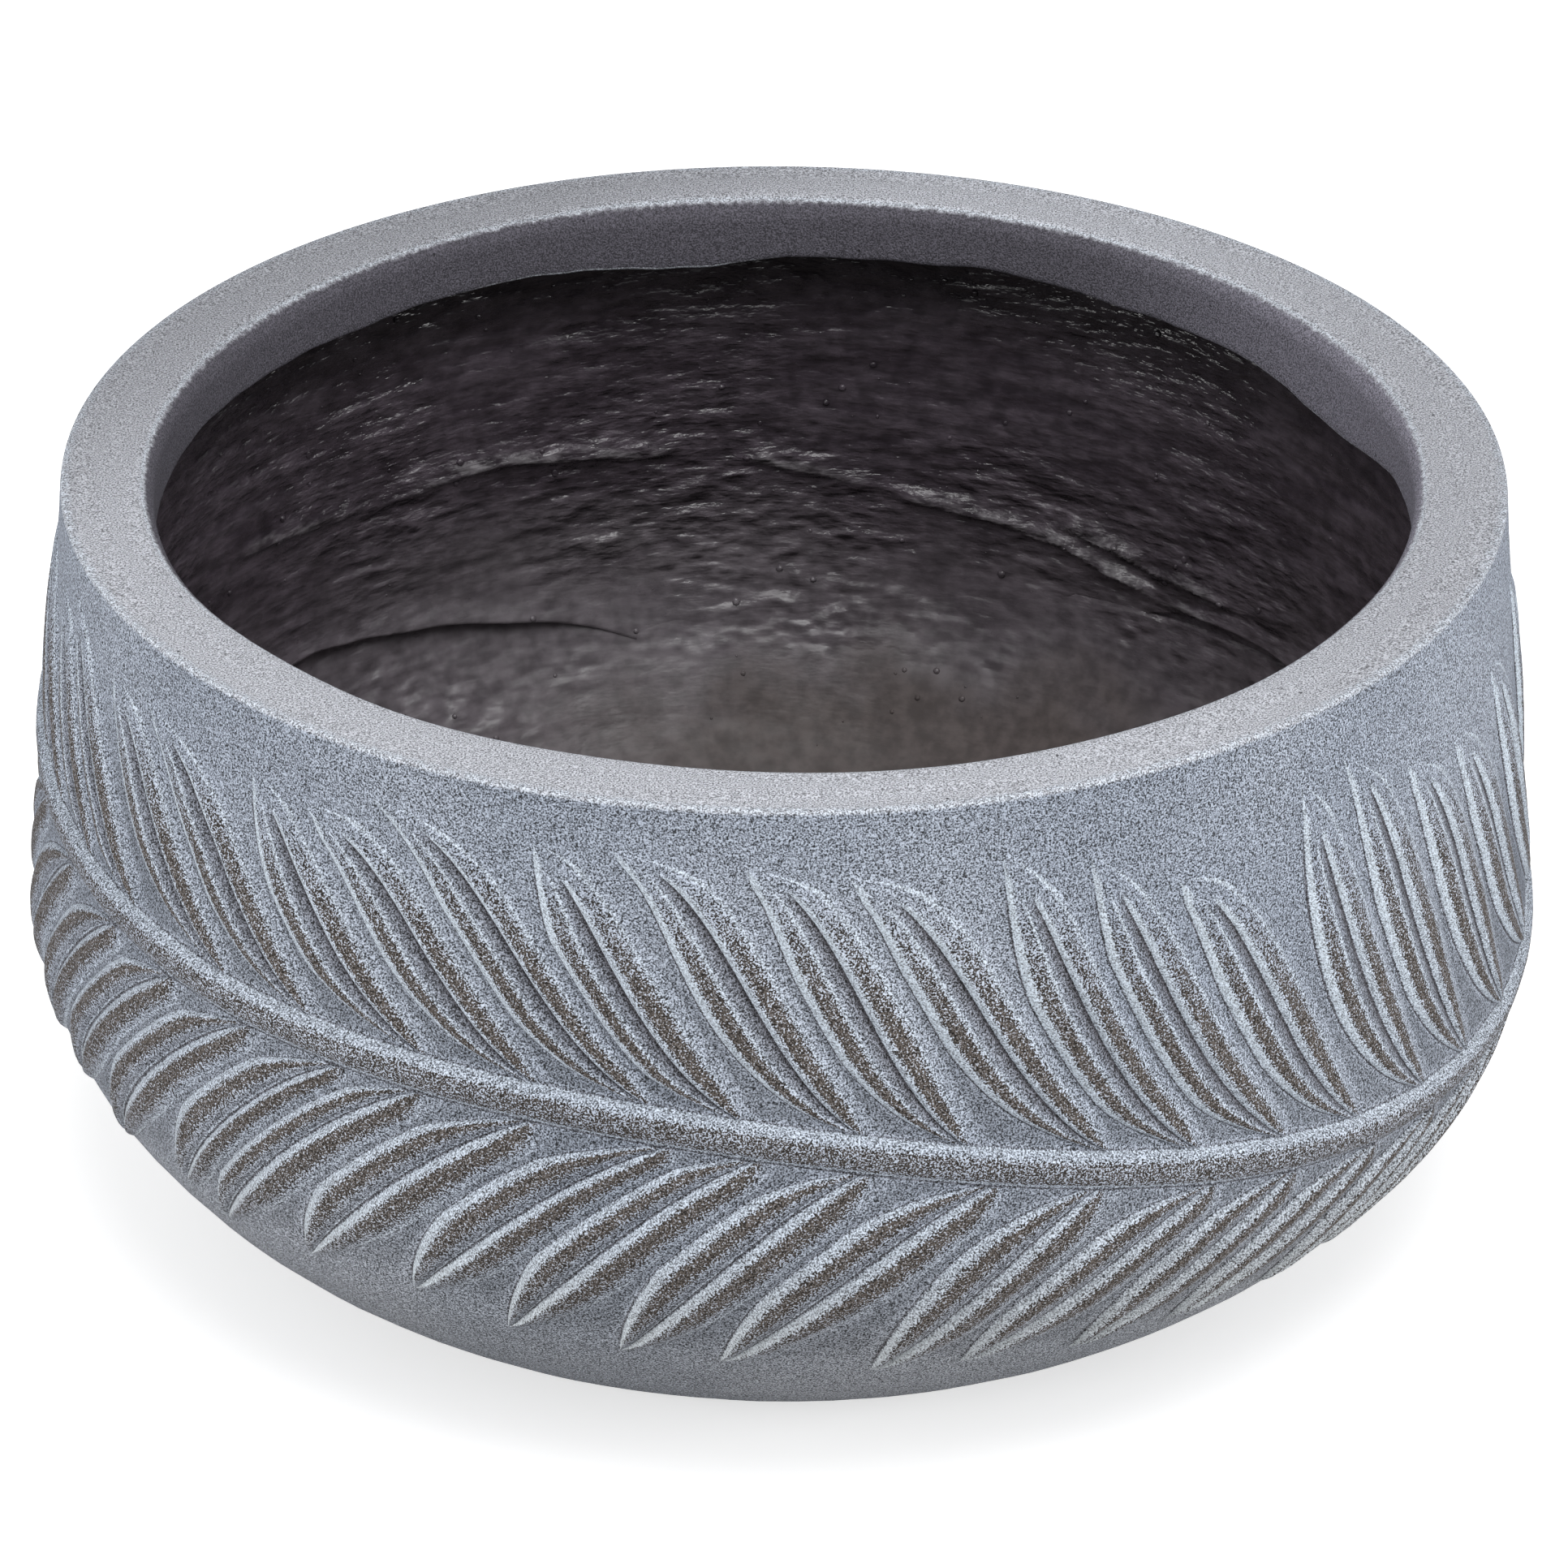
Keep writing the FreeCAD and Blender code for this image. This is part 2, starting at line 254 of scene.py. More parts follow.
lower_leaflet_shares = (
    (0.09, 0.91, 0.95), (0.07, 0.97, 0.95), (0.12, 1.11, 1.06), (0.15, 0.98, 0.95), (-0.05, 1.15, 1.06),
    (0.02, 1.1, 0.98), (0.2, 1.11, 0.94), (-0.05, 1.05, 1.03), (-0.14, 0.99, 1.05), (-0.03, 1.08, 1.03),
    (-0.09, 0.87, 1.09), (0.01, 0.99, 1.03), (-0.08, 0.88, 1.07), (-0.02, 0.87, 1.01), (-0.03, 0.75, 1.06),
    (0.05, 0.85, 1), (0, 0.95, 0.96), (-0.05, 1, 1), (0.04, 0.92, 1.04), (0, 1.02, 0.98),
    (0.06, 0.96, 1.02),
)

# %% Bends of a leaflet, then its half widths and heights at places from root to tip
upper_bends = np.array([[(0.55, 0.22), (0.75, 0.70)], [(0.44, 0.27), (0.54, 0.93)]])
lower_bends = np.array([[(0.36, 0.16), (0.75, 0.62)]])
station_places = (0.0, 0.14, 0.34, 0.58, 0.80, 0.93, 1.0)
upper_shape_shares = {
    "leading": (0.16, 0.62, 1, 0.95, 0.55, 0.22, 0.02),
    "trailing": (0.16, 0.62, 1, 1.02, 0.8, 0.42, 0.04),
    "rise": (0.5, 0.85, 1, 0.95, 0.62, 0.32, 0),
    "plain": (0.2, 0.1, 0, 0, 0.3, 1, 1),
}
lower_shape_shares = {
    "leading": (0.16, 0.6, 0.95, 0.86, 0.5, 0.2, 0.03),
    "trailing": (0.16, 0.62, 1, 0.98, 0.7, 0.36, 0.05),
    "rise": (0.5, 0.85, 1, 1, 0.9, 0.68, 0),
    "plain": (0.2, 0.1, 0, 0, 0, 0.1, 0.6),
}


# %% Middle lines of the leaflets
def midrib_line(angle):
    """Depth of the midrib: one slow wave round the bowl and a ripple of three."""
    turn = np.radians(angle)
    return midrib_depth + midrib_wave * np.sin(turn) - midrib_ripple * np.cos(3 * turn)


def leaflet_lines(upper):
    """Four control points of angle and depth for each leaflet's middle line."""
    rows = upper_leaflet_shares if upper else lower_leaflet_shares
    bends = upper_bends if upper else lower_bends
    start, lean = (upper_start, upper_lean) if upper else (lower_start, lower_lean)
    lines = np.zeros((leaflet_count, 4, 2))
    for index in range(leaflet_count):
        step, lean_share, reach, hook = (*rows[index % len(rows)], 0)[:4]
        angle = start + pitch * (index + step)
        middle = float(midrib_line(angle))
        tip_depth = lower_tip_depth + lower_tip_follow_share * (middle - midrib_depth)
        if upper:
            tip_depth = upper_tip_depth
        root = np.array((angle, middle - root_offset if upper else middle + root_offset))
        tip = np.array((angle - lean * lean_share, middle + (tip_depth - middle) * reach))
        bend = bends[0] + (bends[-1] - bends[0]) * hook
        lines[index] = root, root + (tip - root) * bend[0], root + (tip - root) * bend[1], tip
    return lines


def along_lines(lines, along):
    """Places and directions along all the leaflets, by place along, then leaflet."""
    rest = 1 - along
    weights = np.stack([rest ** 3, 3 * rest ** 2 * along, 3 * rest * along ** 2, along ** 3], axis=-1)
    slopes = [-rest ** 2, rest ** 2 - 2 * rest * along, 2 * rest * along - along ** 2, along ** 2]
    return [np.einsum("tk,lkd->tld", shares, lines) for shares in (weights, np.stack(slopes, axis=-1))]


print(leaflet_count, "leaflets above the midrib and as many below")

# %% [markdown]
# Across a blade, each of its two ridges is steep on the leading side and falls away gently behind. The
# table gives the columns of one leaflet, closest together where it is steep: the side, the place from the
# middle line to the edge, the share of the gap to the next leaflet, then the height above the midrib, below
# it, and near a plain tip.

# %% Columns of a leaflet
leaflet_column_shares = (
    (-1, 1, 1, 0, 0, 0), (-1, 1, 0.35, 0, 0, 0), (-1, 1, 0, 0, 0, 0), (-1, 0.94, 0, 0.3, 0.3, 0.32),
    (-1, 0.86, 0, 0.54, 0.58, 0.52), (-1, 0.7, 0, 0.82, 0.95, 0.74), (-1, 0.52, 0, 0.98, 0.98, 0.88),
    (-1, 0.36, 0, 1, 0.84, 0.94), (-1, 0.2, 0, 0.84, 0.6, 0.98), (-1, 0.06, 0, 0.56, 0.36, 1),
    (1, 0.03, 0, 0.3, 0.2, 1), (1, 0.06, 0, 0.24, 0.22, 1), (1, 0.11, 0, 0.6, 0.48, 0.99),
    (1, 0.18, 0, 0.88, 0.76, 0.97), (1, 0.3, 0, 0.97, 1, 0.92), (1, 0.48, 0, 0.92, 0.9, 0.8),
    (1, 0.66, 0, 0.72, 0.66, 0.6), (1, 0.84, 0, 0.4, 0.36, 0.32), (1, 1, 0, 0.04, 0.04, 0.03),
    (1, 1, 0.4, 0, 0, 0),
)
widest_share = 0.47
slant_share = 0.6
upper_blade_width = 1.32 * leaflet_width
lower_blade_width = 1.48 * leaflet_width


# %% One side of the frond as tables of rows and columns
def frond_side(upper, along):
    """Angle, depth, height, place across and share of leaf of the grid over the leaflets of one side."""
    lines = leaflet_lines(upper)
    blade_width = upper_blade_width if upper else lower_blade_width
    full = np.array((360.0, 0.0))
    following = np.concatenate([lines[1:], lines[:1] + full])
    before = np.concatenate([lines[-1:] - full, lines[:-1]])
    place, heading = along_lines(lines, along)
    radius = outline(place[..., 1])[0]
    run, drop = np.radians(heading[..., 0]) * radius, heading[..., 1]
    length = np.hypot(run, drop)
    shape = {
        name: eased(list(zip(station_places, shares)), along)[:, None]
        for name, shares in (upper_shape_shares if upper else lower_shape_shares).items()
    }
    tables = [[] for _ in range(5)]
    for side, across, gap, upper_height, lower_height, plain_height in leaflet_column_shares:
        reach = along_lines(before if side < 0 else following, along)[0] - place
        reach_run = np.radians(reach[..., 0]) * radius
        square = np.abs(reach_run * drop - reach[..., 1] * run) / length
        spacing = np.maximum(square, slant_share * np.hypot(reach_run, reach[..., 1]))
        half_width = blade_width / 2 * shape["leading" if side < 0 else "trailing"]
        edge = np.minimum(half_width / spacing, widest_share)
        share = across * edge + gap * (0.5 - edge)
        ridged = upper_height if upper else lower_height
        values = (
            place[..., 0] + reach[..., 0] * share,
            place[..., 1] + reach[..., 1] * share,
            shape["rise"] * (ridged + (plain_height - ridged) * shape["plain"]) + 0 * radius,
            side * across + 0 * radius,
            1 - gap + 0 * radius,
        )
        for table, value in zip(tables, values):
            table.append(value)
    return [np.stack(table, axis=-1).reshape(len(along), -1) for table in tables]


# %% Rows of the whole outside
upper_row_count = 36
lower_row_count = 34
midrib_row_count = 12
bottom_row_count = 10
bottom_crowding = 1.2
upper_along = np.linspace(1, 0, upper_row_count)
lower_along = np.linspace(0, 1, lower_row_count)
upper_angle, upper_depth, upper_lift, upper_across, upper_leaf = frond_side(True, upper_along)
lower_angle, lower_depth, lower_lift, lower_across, lower_leaf = frond_side(False, lower_along)
top_shares = np.array((0.0, 0.012, 0.2, 0.4, 0.6, 0.8))
midrib_shares = np.linspace(0, 1, midrib_row_count + 2)[1:-1]
bottom_shares = np.linspace(0, 1, bottom_row_count + 1)[1:] ** bottom_crowding
columns = upper_angle.shape[1]
print("columns", columns)


# %% Tables joined from the rim to the foot
def between(first, last, shares):
    """Rows at shares of the way from one row to another."""
    return first + (last - first) * np.asarray(shares)[:, None]


def whole(top, upper_rows, midrib_rows, lower_rows, bottom):
    """One table from a value or rows for each part of the outside."""
    counts = (len(top_shares), len(upper_along), len(midrib_shares), len(lower_along), len(bottom_shares))
    parts = (top, upper_rows, midrib_rows, lower_rows, bottom)
    return np.concatenate([part + np.zeros((count, columns)) for part, count in zip(parts, counts)])


midrib_angle = between(upper_angle[-1], lower_angle[0], midrib_shares)
angle = whole(upper_angle[0], upper_angle, midrib_angle, lower_angle, lower_angle[-1])
depth = whole(
    between(seam_depth, upper_depth[0], top_shares), upper_depth,
    between(upper_depth[-1], lower_depth[0], midrib_shares), lower_depth,
    between(lower_depth[-1], foot_depth, bottom_shares),
)
print("rows outside", len(depth))

# %% Across the midrib: place from its upper edge at -1 to its lower edge at 1, then height
midrib_section_shares = (
    (-1.2, 0), (-1, 0.02), (-0.85, 0.55), (-0.6, 0.88), (-0.35, 1), (0, 0.98), (0.4, 0.82), (0.75, 0.5),
    (0.92, 0.2), (1, 0.02), (1.2, 0),
)
root_place = 2 * root_offset / midrib_width
midrib_across = root_place * (2 * midrib_shares - 1)[:, None]
midrib_lift = np.interp(midrib_across, *zip(*midrib_section_shares))
beyond_rib = 2.0
rib_across = whole(-beyond_rib, -beyond_rib, midrib_across, beyond_rib, beyond_rib)
last_upper = len(top_shares) + len(upper_along) - 1
first_lower = last_upper + len(midrib_shares) + 1
rib_across[last_upper] = -root_place
rib_across[first_lower] = root_place
rib_face = np.where(np.abs(rib_across) < beyond_rib, 1.0, 0.0)
print("midrib rows", len(midrib_shares))

# %% Skin of the bowl before its relief, with what the finish needs painted on its points
back_shares = np.linspace(0, 1, 6)
flush_span = 0.008
marks = {
    "leaflet_lift": whole(0, upper_lift, 0, lower_lift, 0),
    "rib_lift": whole(0, 0, midrib_lift, 0, 0),
    "across": whole(upper_across[0], upper_across, 0, lower_across, lower_across[-1]),
    "leaf_face": whole(0, upper_leaf, 0, lower_leaf, 0),
    "along": whole(1, upper_along[:, None], 0, lower_along[:, None], 1),
    "upper_face": whole(1, 1, 1, 0, 0),
    "rib_across": rib_across,
    "rib_face": rib_face,
    "wave_share": smooth(0, flush_span, depth - seam_depth),
}
all_angle = np.concatenate([angle, between(angle[-1], angle[0], back_shares)])
all_depth = np.concatenate([depth, between(depth[-1], depth[0], back_shares)])
back_rows = np.zeros((len(back_shares), columns))
inset = np.concatenate([0 * depth, back_rows + coat_thickness])
frond_coat = ring_mesh("frond_coat", on_bowl(all_angle, all_depth, -inset))
tilt = outline(all_depth)[2]
for name, table in marks.items():
    paint(frond_coat, name, np.concatenate([table, back_rows]))
paint(frond_coat, "outward", around(all_angle, np.cos(tilt), np.sin(tilt)))
print("frond coat:", len(frond_coat.data.polygons), "faces")


# %% [markdown]
# ## Node trees
#
# Shader trees and Geometry Nodes are built in the same way: make a node, set it, link its inputs. One
# helper does all three, and another finds the tree from the outputs that it takes, so that steps read as
# plain sums.

# %% Node helpers
def join(made, inputs):
    """Sets a node's inputs, and links those whose value is another node's output."""
    for name, value in inputs.items():
        if isinstance(value, bpy.types.NodeSocket):
            made.id_data.links.new(value, made.inputs[name])
        else:
            made.inputs[name].default_value = value


def node(tree, kind, inputs=(), **settings):
    """New node with its settings made and its inputs set or linked."""
    made = tree.nodes.new(kind)
    for name, value in settings.items():
        setattr(made, name, value)
    join(made, dict(inputs))
    return made


def step(kind, inputs, **settings):
    """New node in the same tree as the outputs that it takes."""
    outputs = [value for value in inputs.values() if isinstance(value, bpy.types.NodeSocket)]
    return node(outputs[0].id_data, kind, inputs, **settings)


def sums(operation, first, second):
    """Output of one step of arithmetic."""
    return step("ShaderNodeMath", {0: first, 1: second}, operation=operation).outputs[0]


def plus(first, second):
    return sums("ADD", first, second)


def less(first, second):
    return sums("SUBTRACT", first, second)


def times(first, *others):
    for other in others:
        first = sums("MULTIPLY", first, other)
    return first


# %% Geometry Nodes helpers
def geometry_tree(name, sizes):
    """Geometry Nodes tree with named inputs for its sizes and one for its material."""
    tree = bpy.data.node_groups.new(name, "GeometryNodeTree")
    tree.is_modifier = True
    sockets = [("Geometry", "Geometry"), *((size, "Float") for size in sizes), ("Finish", "Material")]
    for label, kind in sockets:
        tree.interface.new_socket(label, in_out="INPUT", socket_type="NodeSocket" + kind)
    tree.interface.new_socket("Geometry", in_out="OUTPUT", socket_type="NodeSocketGeometry")
    return tree, node(tree, "NodeGroupInput").outputs


def end_tree(tree, geometry, finish):
    """Last nodes of a tree: real meshes with their material."""
    real = step("GeometryNodeRealizeInstances", {"Geometry": geometry}).outputs[0]
    done = step("GeometryNodeSetMaterial", {"Geometry": real, "Material": finish}).outputs[0]
    node(tree, "NodeGroupOutput", {"Geometry": done})


def grow(piece, tree, sizes, finish):
    """Runs a tree on a piece and keeps the result as its plain mesh."""
    modifier = piece.modifiers.new(tree.name, "NODES")
    modifier.node_group = tree
    values = dict(sizes, Finish=finish)
    for socket in tree.interface.items_tree:
        if socket.in_out == "INPUT" and socket.name in values:
            modifier[socket.identifier] = values[socket.name]
    bpy.context.view_layer.update()
    evaluated = piece.evaluated_get(bpy.context.evaluated_depsgraph_get())
    mesh = bpy.data.meshes.new_from_object(evaluated)
    piece.modifiers.remove(modifier)
    piece.data = mesh
    mesh.name = piece.name


# %% Shader helpers
def finish_tree(name):
    """New material, its tree and its shader."""
    material = bpy.data.materials.new(name)
    material.use_nodes = True
    return material, material.node_tree, material.node_tree.nodes["Principled BSDF"]


def object_place(tree):
    """Place of a point on its piece."""
    return node(tree, "ShaderNodeTexCoord").outputs["Object"]


def axes(vector):
    """The three numbers of a place or a colour."""
    return step("ShaderNodeSeparateXYZ", {"Vector": vector}).outputs


def grain(tree, size, detail=2.0, squeeze=(1.0, 1.0, 1.0)):
    """Noise whose grains are about a size across, in metres, squeezed along the axes."""
    place = object_place(tree)
    if squeeze != (1.0, 1.0, 1.0):
        place = step("ShaderNodeMapping", {"Vector": place, "Scale": squeeze}).outputs[0]
    return step("ShaderNodeTexNoise", {"Vector": place, "Scale": 1 / size, "Detail": detail}).outputs["Fac"]


def ramp(value, low, high, to_low=0.0, to_high=1.0):
    """Smooth step from one value to another."""
    inputs = {"Value": value, "From Min": low, "From Max": high, "To Min": to_low, "To Max": to_high}
    return step("ShaderNodeMapRange", inputs, interpolation_type="SMOOTHSTEP").outputs["Result"]


def blend(share, first, second, blend_type="MIX"):
    """Colour between two others."""
    inputs = {0: share, 6: first, 7: second}
    return step("ShaderNodeMix", inputs, data_type="RGBA", blend_type=blend_type).outputs[2]


def scaled(vector, amount):
    """Colour made lighter or darker, or a direction made longer or shorter."""
    return step("ShaderNodeVectorMath", {0: vector, "Scale": amount}, operation="SCALE").outputs[0]


def mark(tree, name):
    """Number painted on the piece's points."""
    return node(tree, "ShaderNodeAttribute", attribute_name=name).outputs["Fac"]


def bump(height, distance, strength=1.0, normal=None):
    """Surface tilted by a height, on top of another bump where one is given."""
    inputs = {"Height": height, "Distance": distance, "Strength": strength}
    if normal is not None:
        inputs["Normal"] = normal
    return step("ShaderNodeBump", inputs).outputs["Normal"]


# %% [markdown]
# ## The grey clay finish
#
# The skin is cement with fine sand, sprayed blue-grey and then rubbed. The steep flanks of the ridges are
# pale, partly spray and partly a painted highlight on the edges that face the light; the rubbing bared brown
# behind them, and the grooves and creases carry painted shade. The points carry the place across and along
# a leaflet, so colour ramps can say where each finish lies, crisper than the mesh. Grains of sand under half
# a millimetre across then break every border up, as they do on the real bowl.

# %% Finish across a leaflet and the midrib: place, then brown, pale and dark, with zeros at the end left out
# Dark is painted shade in the creases and grooves; pale is spray and partly a painted highlight.
upper_finish_shares = (
    (-1, 0, 0, 0.9), (-0.975, 0, 0.2, 0.6), (-0.95, 0, 0.9), (-0.8, 0.05, 0.9), (-0.75, 0.55, 0.4),
    (-0.68, 0.95), (-0.45, 0.9), (-0.38, 0.4, 0.4), (-0.32, 0, 0.6), (-0.27, 0, 0.1, 0.3),
    (-0.18, 0, 0, 0.5), (0, 0, 0, 0.7), (0.045, 0, 0, 1), (0.075, 0, 0, 0.9), (0.095, 0, 0.8),
    (0.2, 0.05, 0.7), (0.27, 0.6, 0.3), (0.34, 0.95), (0.58, 0.9), (0.68, 0.5, 0.25), (0.75, 0.05, 0.5),
    (0.83, 0, 0.12), (1, 0, 0, 0.2),
)
lower_finish_shares = (
    (-1, 0, 0, 0.8), (-0.97, 0, 0.4, 0.3), (-0.94, 0, 0.8), (-0.8, 0.1, 0.75), (-0.72, 0.6, 0.4),
    (-0.64, 0.95), (-0.42, 0.9), (-0.28, 0.5, 0, 0.2), (-0.16, 0.1, 0, 0.5), (-0.09, 0, 0.1, 0.5),
    (-0.05, 0, 0.5, 0.2), (0, 0, 0, 0.9), (0.04, 0, 0.2, 0.6), (0.08, 0, 0.8), (0.2, 0.1, 0.8),
    (0.27, 0.6, 0.4), (0.34, 0.95), (0.62, 0.9), (0.8, 0.45, 0, 0.15), (0.9, 0, 0.3, 0.1), (0.96, 0, 0.5),
    (1, 0, 0, 0.5),
)
tip_finish_shares = (
    (-1, 0, 0, 0.7), (-0.95, 0, 0.95), (-0.65, 0, 0.6), (-0.4,), (0.6,), (0.8, 0.05, 0.7), (0.92, 0, 0.5),
    (1, 0, 0, 0.3),
)
rib_finish_shares = (
    (-1.2,), (-1.06, 0, 0, 0.6), (-0.97, 0, 0.45, 0.1), (-0.82, 0, 0.34), (-0.64, 0.1, 0.3),
    (-0.5, 0.45, 0.25, 0.1), (-0.38, 0.66, 0, 0.2), (0.1, 0.66, 0, 0.1), (0.6, 0.7), (0.8, 0.62, 0, 0.05),
    (0.87, 0.1, 0.42), (0.95, 0, 0.38, 0.2), (1.06, 0, 0, 0.8), (1.2,),
)

# %% Finish along a leaflet: place from root to tip, then shares of brown, pale and dark
upper_along_shares = (
    (0, 0.7, 0.5, 0.8), (0.08, 1, 0.6, 1), (0.4, 1, 0.75, 1), (0.55, 0.8, 0.9, 1), (0.7, 0.5, 1, 1),
    (0.82, 0.15, 1, 0.8), (0.9, 0, 0.9, 0.3), (1, 0, 0.5, 0),
)
lower_along_shares = (
    (0, 0.8, 0.45, 0.8), (0.1, 1, 0.55, 1), (0.5, 1, 0.6, 0.9), (0.7, 0.9, 0.8, 0.9), (0.86, 0.6, 1, 1),
    (1, 0.15, 1, 0.3),
)


def stops(value, shares):
    """Brown, pale and dark together as one colour that changes at a few places along a value."""
    low, high = shares[0][0], shares[-1][0]
    inputs = {"Value": value, "From Min": low, "From Max": high}
    made = step("ShaderNodeValToRGB", {"Fac": step("ShaderNodeMapRange", inputs).outputs["Result"]})
    elements = made.color_ramp.elements
    for place, *_ in shares[1:-1]:
        elements.new((place - low) / (high - low))
    for element, (_, *finishes) in zip(elements, shares):
        element.color = (*finishes, 0, 0, 0)[:3] + (1,)
    return made.outputs["Color"]


# %% Where brown, pale and dark lie
fibreclay, clay, clay_shader = finish_tree("fibreclay")
on_upper = mark(clay, "upper_face")
across = mark(clay, "across")
along = mark(clay, "along")
section = blend(on_upper, stops(across, lower_finish_shares), stops(across, upper_finish_shares))
at_tip = times(ramp(along, 0.80, 0.90), on_upper)
section = blend(at_tip, section, stops(across, tip_finish_shares))
length_finish = blend(on_upper, stops(along, lower_along_shares), stops(along, upper_along_shares))
leaf_finish = blend(1.0, section, length_finish, "MULTIPLY")
leaf_finish = scaled(leaf_finish, ramp(mark(clay, "leaf_face"), 0.88, 1.0))
rib_finish = scaled(stops(mark(clay, "rib_across"), rib_finish_shares), mark(clay, "rib_face"))
finishes = step("ShaderNodeVectorMath", {0: leaf_finish, 1: rib_finish}, operation="ADD").outputs[0]
brown, pale, dark = axes(finishes)
print("finishes laid with", len(clay.nodes), "nodes")

# %% Colours of the clay, and its grains from sand to clouds
clay_low = (0.224, 0.250, 0.300, 1.0)
clay_high = (0.270, 0.296, 0.346, 1.0)
# Pale spray colour, also used as a painted highlight on edges facing the light
clay_pale = (0.485, 0.540, 0.605, 1.0)
clay_brown = (0.094, 0.080, 0.071, 1.0)
# Painted shade colour for the creases and grooves of the frond
clay_crease_shade = (0.060, 0.056, 0.064, 1.0)
rim_warm = (0.412, 0.423, 0.462, 1.0)
lip_dark = (0.080, 0.076, 0.092, 1.0)
# Lighter lip colour: painted light on the right of the lip
lip_painted_light = (0.168, 0.162, 0.196, 1.0)
low_tint = (1.0, 0.95, 0.88, 1.0)
hole_dark = (0.03, 0.03, 0.035, 1.0)
sand_size = 0.0004
grit_size = 0.0016
cloud_size = 0.09
sand = ramp(grain(clay, sand_size, 2.0), 0.32, 0.68, -0.5, 0.5)
grit = grain(clay, grit_size, 3.0)
cloud = grain(clay, cloud_size, 3.0)
on_rim = mark(clay, "rim_tone")
on_lip = mark(clay, "lip_shade")
clay_x, clay_y, clay_z = axes(object_place(clay))
print("sand", 1000 * sand_size, "mm")


# %% Sand that breaks the finishes up
def sandy(share, scatter, low, high):
    """Share of a finish whose borders are broken up by the grains."""
    return ramp(plus(share, times(sand, scatter)), low, high)


colour = blend(ramp(cloud, 0.3, 0.7), clay_low, clay_high)
colour = blend(on_rim, colour, rim_warm)
# Painted shade: the creases and grooves of the frond made darker
colour = blend(times(sandy(dark, -0.15, 0.1, 0.9), 0.92), colour, clay_crease_shade)
# Pale spray on the flanks, partly a painted highlight on the edges that face the light
colour = blend(sandy(pale, 0.12, 0.05, 0.9), colour, clay_pale)
colour = blend(sandy(brown, -1.0, 0.38, 0.62), colour, clay_brown)
# Pale rim and lip edges: partly wear, partly a painted highlight where the edges catch the light
ragged = times(ramp(grit, 0.3, 0.7, -0.1, 0.1), ramp(on_lip, 0.0, 0.1))
lip_place = plus(on_lip, ragged)
worn_and_highlit = times(ramp(lip_place, 0.0, 0.15), ramp(lip_place, 0.2, 0.45, 0.4, 0.0))
colour = blend(worn_and_highlit, colour, clay_pale)
# Painted light: the lip made lighter on its right, where more light reaches it
lip_colour = blend(ramp(clay_x, 0.06, 0.14), lip_dark, lip_painted_light)
colour = blend(ramp(lip_place, 0.18, 0.6), colour, lip_colour)
print("clay colours mixed")

# %% Painted shade in the hollows between the leaflets and on the rim behind and on the right, and the low bowl
# Painted shade: the ground between the leaflets darker, less so towards the tips of the upper leaflets
gap_face = times(ramp(mark(clay, "leaf_face"), 1.0, 0.4), ramp(along, 0.96, 0.80))
in_gap = times(gap_face, less(1.0, mark(clay, "rib_face")), mark(clay, "wave_share"))
upper_hollow_shade = times(on_upper, ramp(along, 0.8, 0.3, -0.28, 0.06))
hollow_shade = times(in_gap, plus(upper_hollow_shade, 0.28))
# Painted shade: the rim's top darker behind and on the right, where less light falls
rim_back_shade = ramp(less(clay_y, clay_x), 0.10, 0.22, 0.0, 0.3)
rim_right_shade = ramp(clay_x, 0.08, 0.15, 0.0, 0.13)
flat_rim = times(on_rim, ramp(on_lip, 0.0, 0.5, 1.0, 0.0))
rim_shade = times(plus(rim_back_shade, rim_right_shade), flat_rim)
for darker in (hollow_shade, rim_shade):
    colour = scaled(colour, less(1.0, darker))
colour = blend(ramp(clay_z, 0.095, 0.035), colour, low_tint, "MULTIPLY")
print("clay shaded")

# %% Sandy speckle, pinholes and the clay's bump
contrast = less(1.8, times(on_rim, 0.7))
contrast = less(contrast, times(ramp(pale, 0.2, 0.7), 1.1))
speckle = plus(times(sand, contrast), 1.0)
sand_depth = 0.00015
grit_depth = 0.0002
pinhole_depth = 0.0005
pinhole_spacing = 0.006
cells = step("ShaderNodeTexVoronoi", {"Vector": object_place(clay), "Scale": 1 / pinhole_spacing}).outputs
chance = step("ShaderNodeSeparateColor", {"Color": cells["Color"]}).outputs[0]
round_spots = ramp(cells["Distance"], 0.035, 0.075, 1.0, 0.0)
holes = times(round_spots, ramp(chance, 0.60, 0.75))
sanded = bump(sand, sand_depth)
gritty = bump(grit, grit_depth, 0.8, sanded)
join(clay_shader, {
    "Base Color": blend(times(holes, 0.85), scaled(colour, speckle), hole_dark),
    "Roughness": ramp(grit, 0.3, 0.7, 0.78, 0.95),
    "Normal": bump(less(1.0, holes), pinhole_depth, 1.0, gritty),
    "Specular IOR Level": 0.25,
})
print("fibreclay has", len(clay.nodes), "nodes")

# %% [markdown]
# ## Raising the relief
#
# The grid knows where each ridge is, but it is still flat on the bowl. A small Geometry Nodes tree lifts
# each point along the surface's outward direction by its leaflet and midrib heights, and adds the slight
# unevenness of a cast surface. The heights are inputs of the tree, so the relief can be made bolder or
# flatter in one place.

# %% Relief tree
ground_wave = 0.0007
wave_size = 0.02
relief_sizes = {
    "Leaflet rise": leaflet_rise, "Midrib rise": midrib_rise,
    "Ground wave": ground_wave, "Wave size": wave_size,
}
relief_tree, relief_inputs = geometry_tree("frond_relief", relief_sizes)
wave_top = 0.75


def stored(tree, name, kind="FLOAT"):
    """Number or direction painted on the points, as a Geometry Nodes tree reads it."""
    return node(tree, "GeometryNodeInputNamedAttribute", {"Name": name}, data_type=kind).outputs["Attribute"]


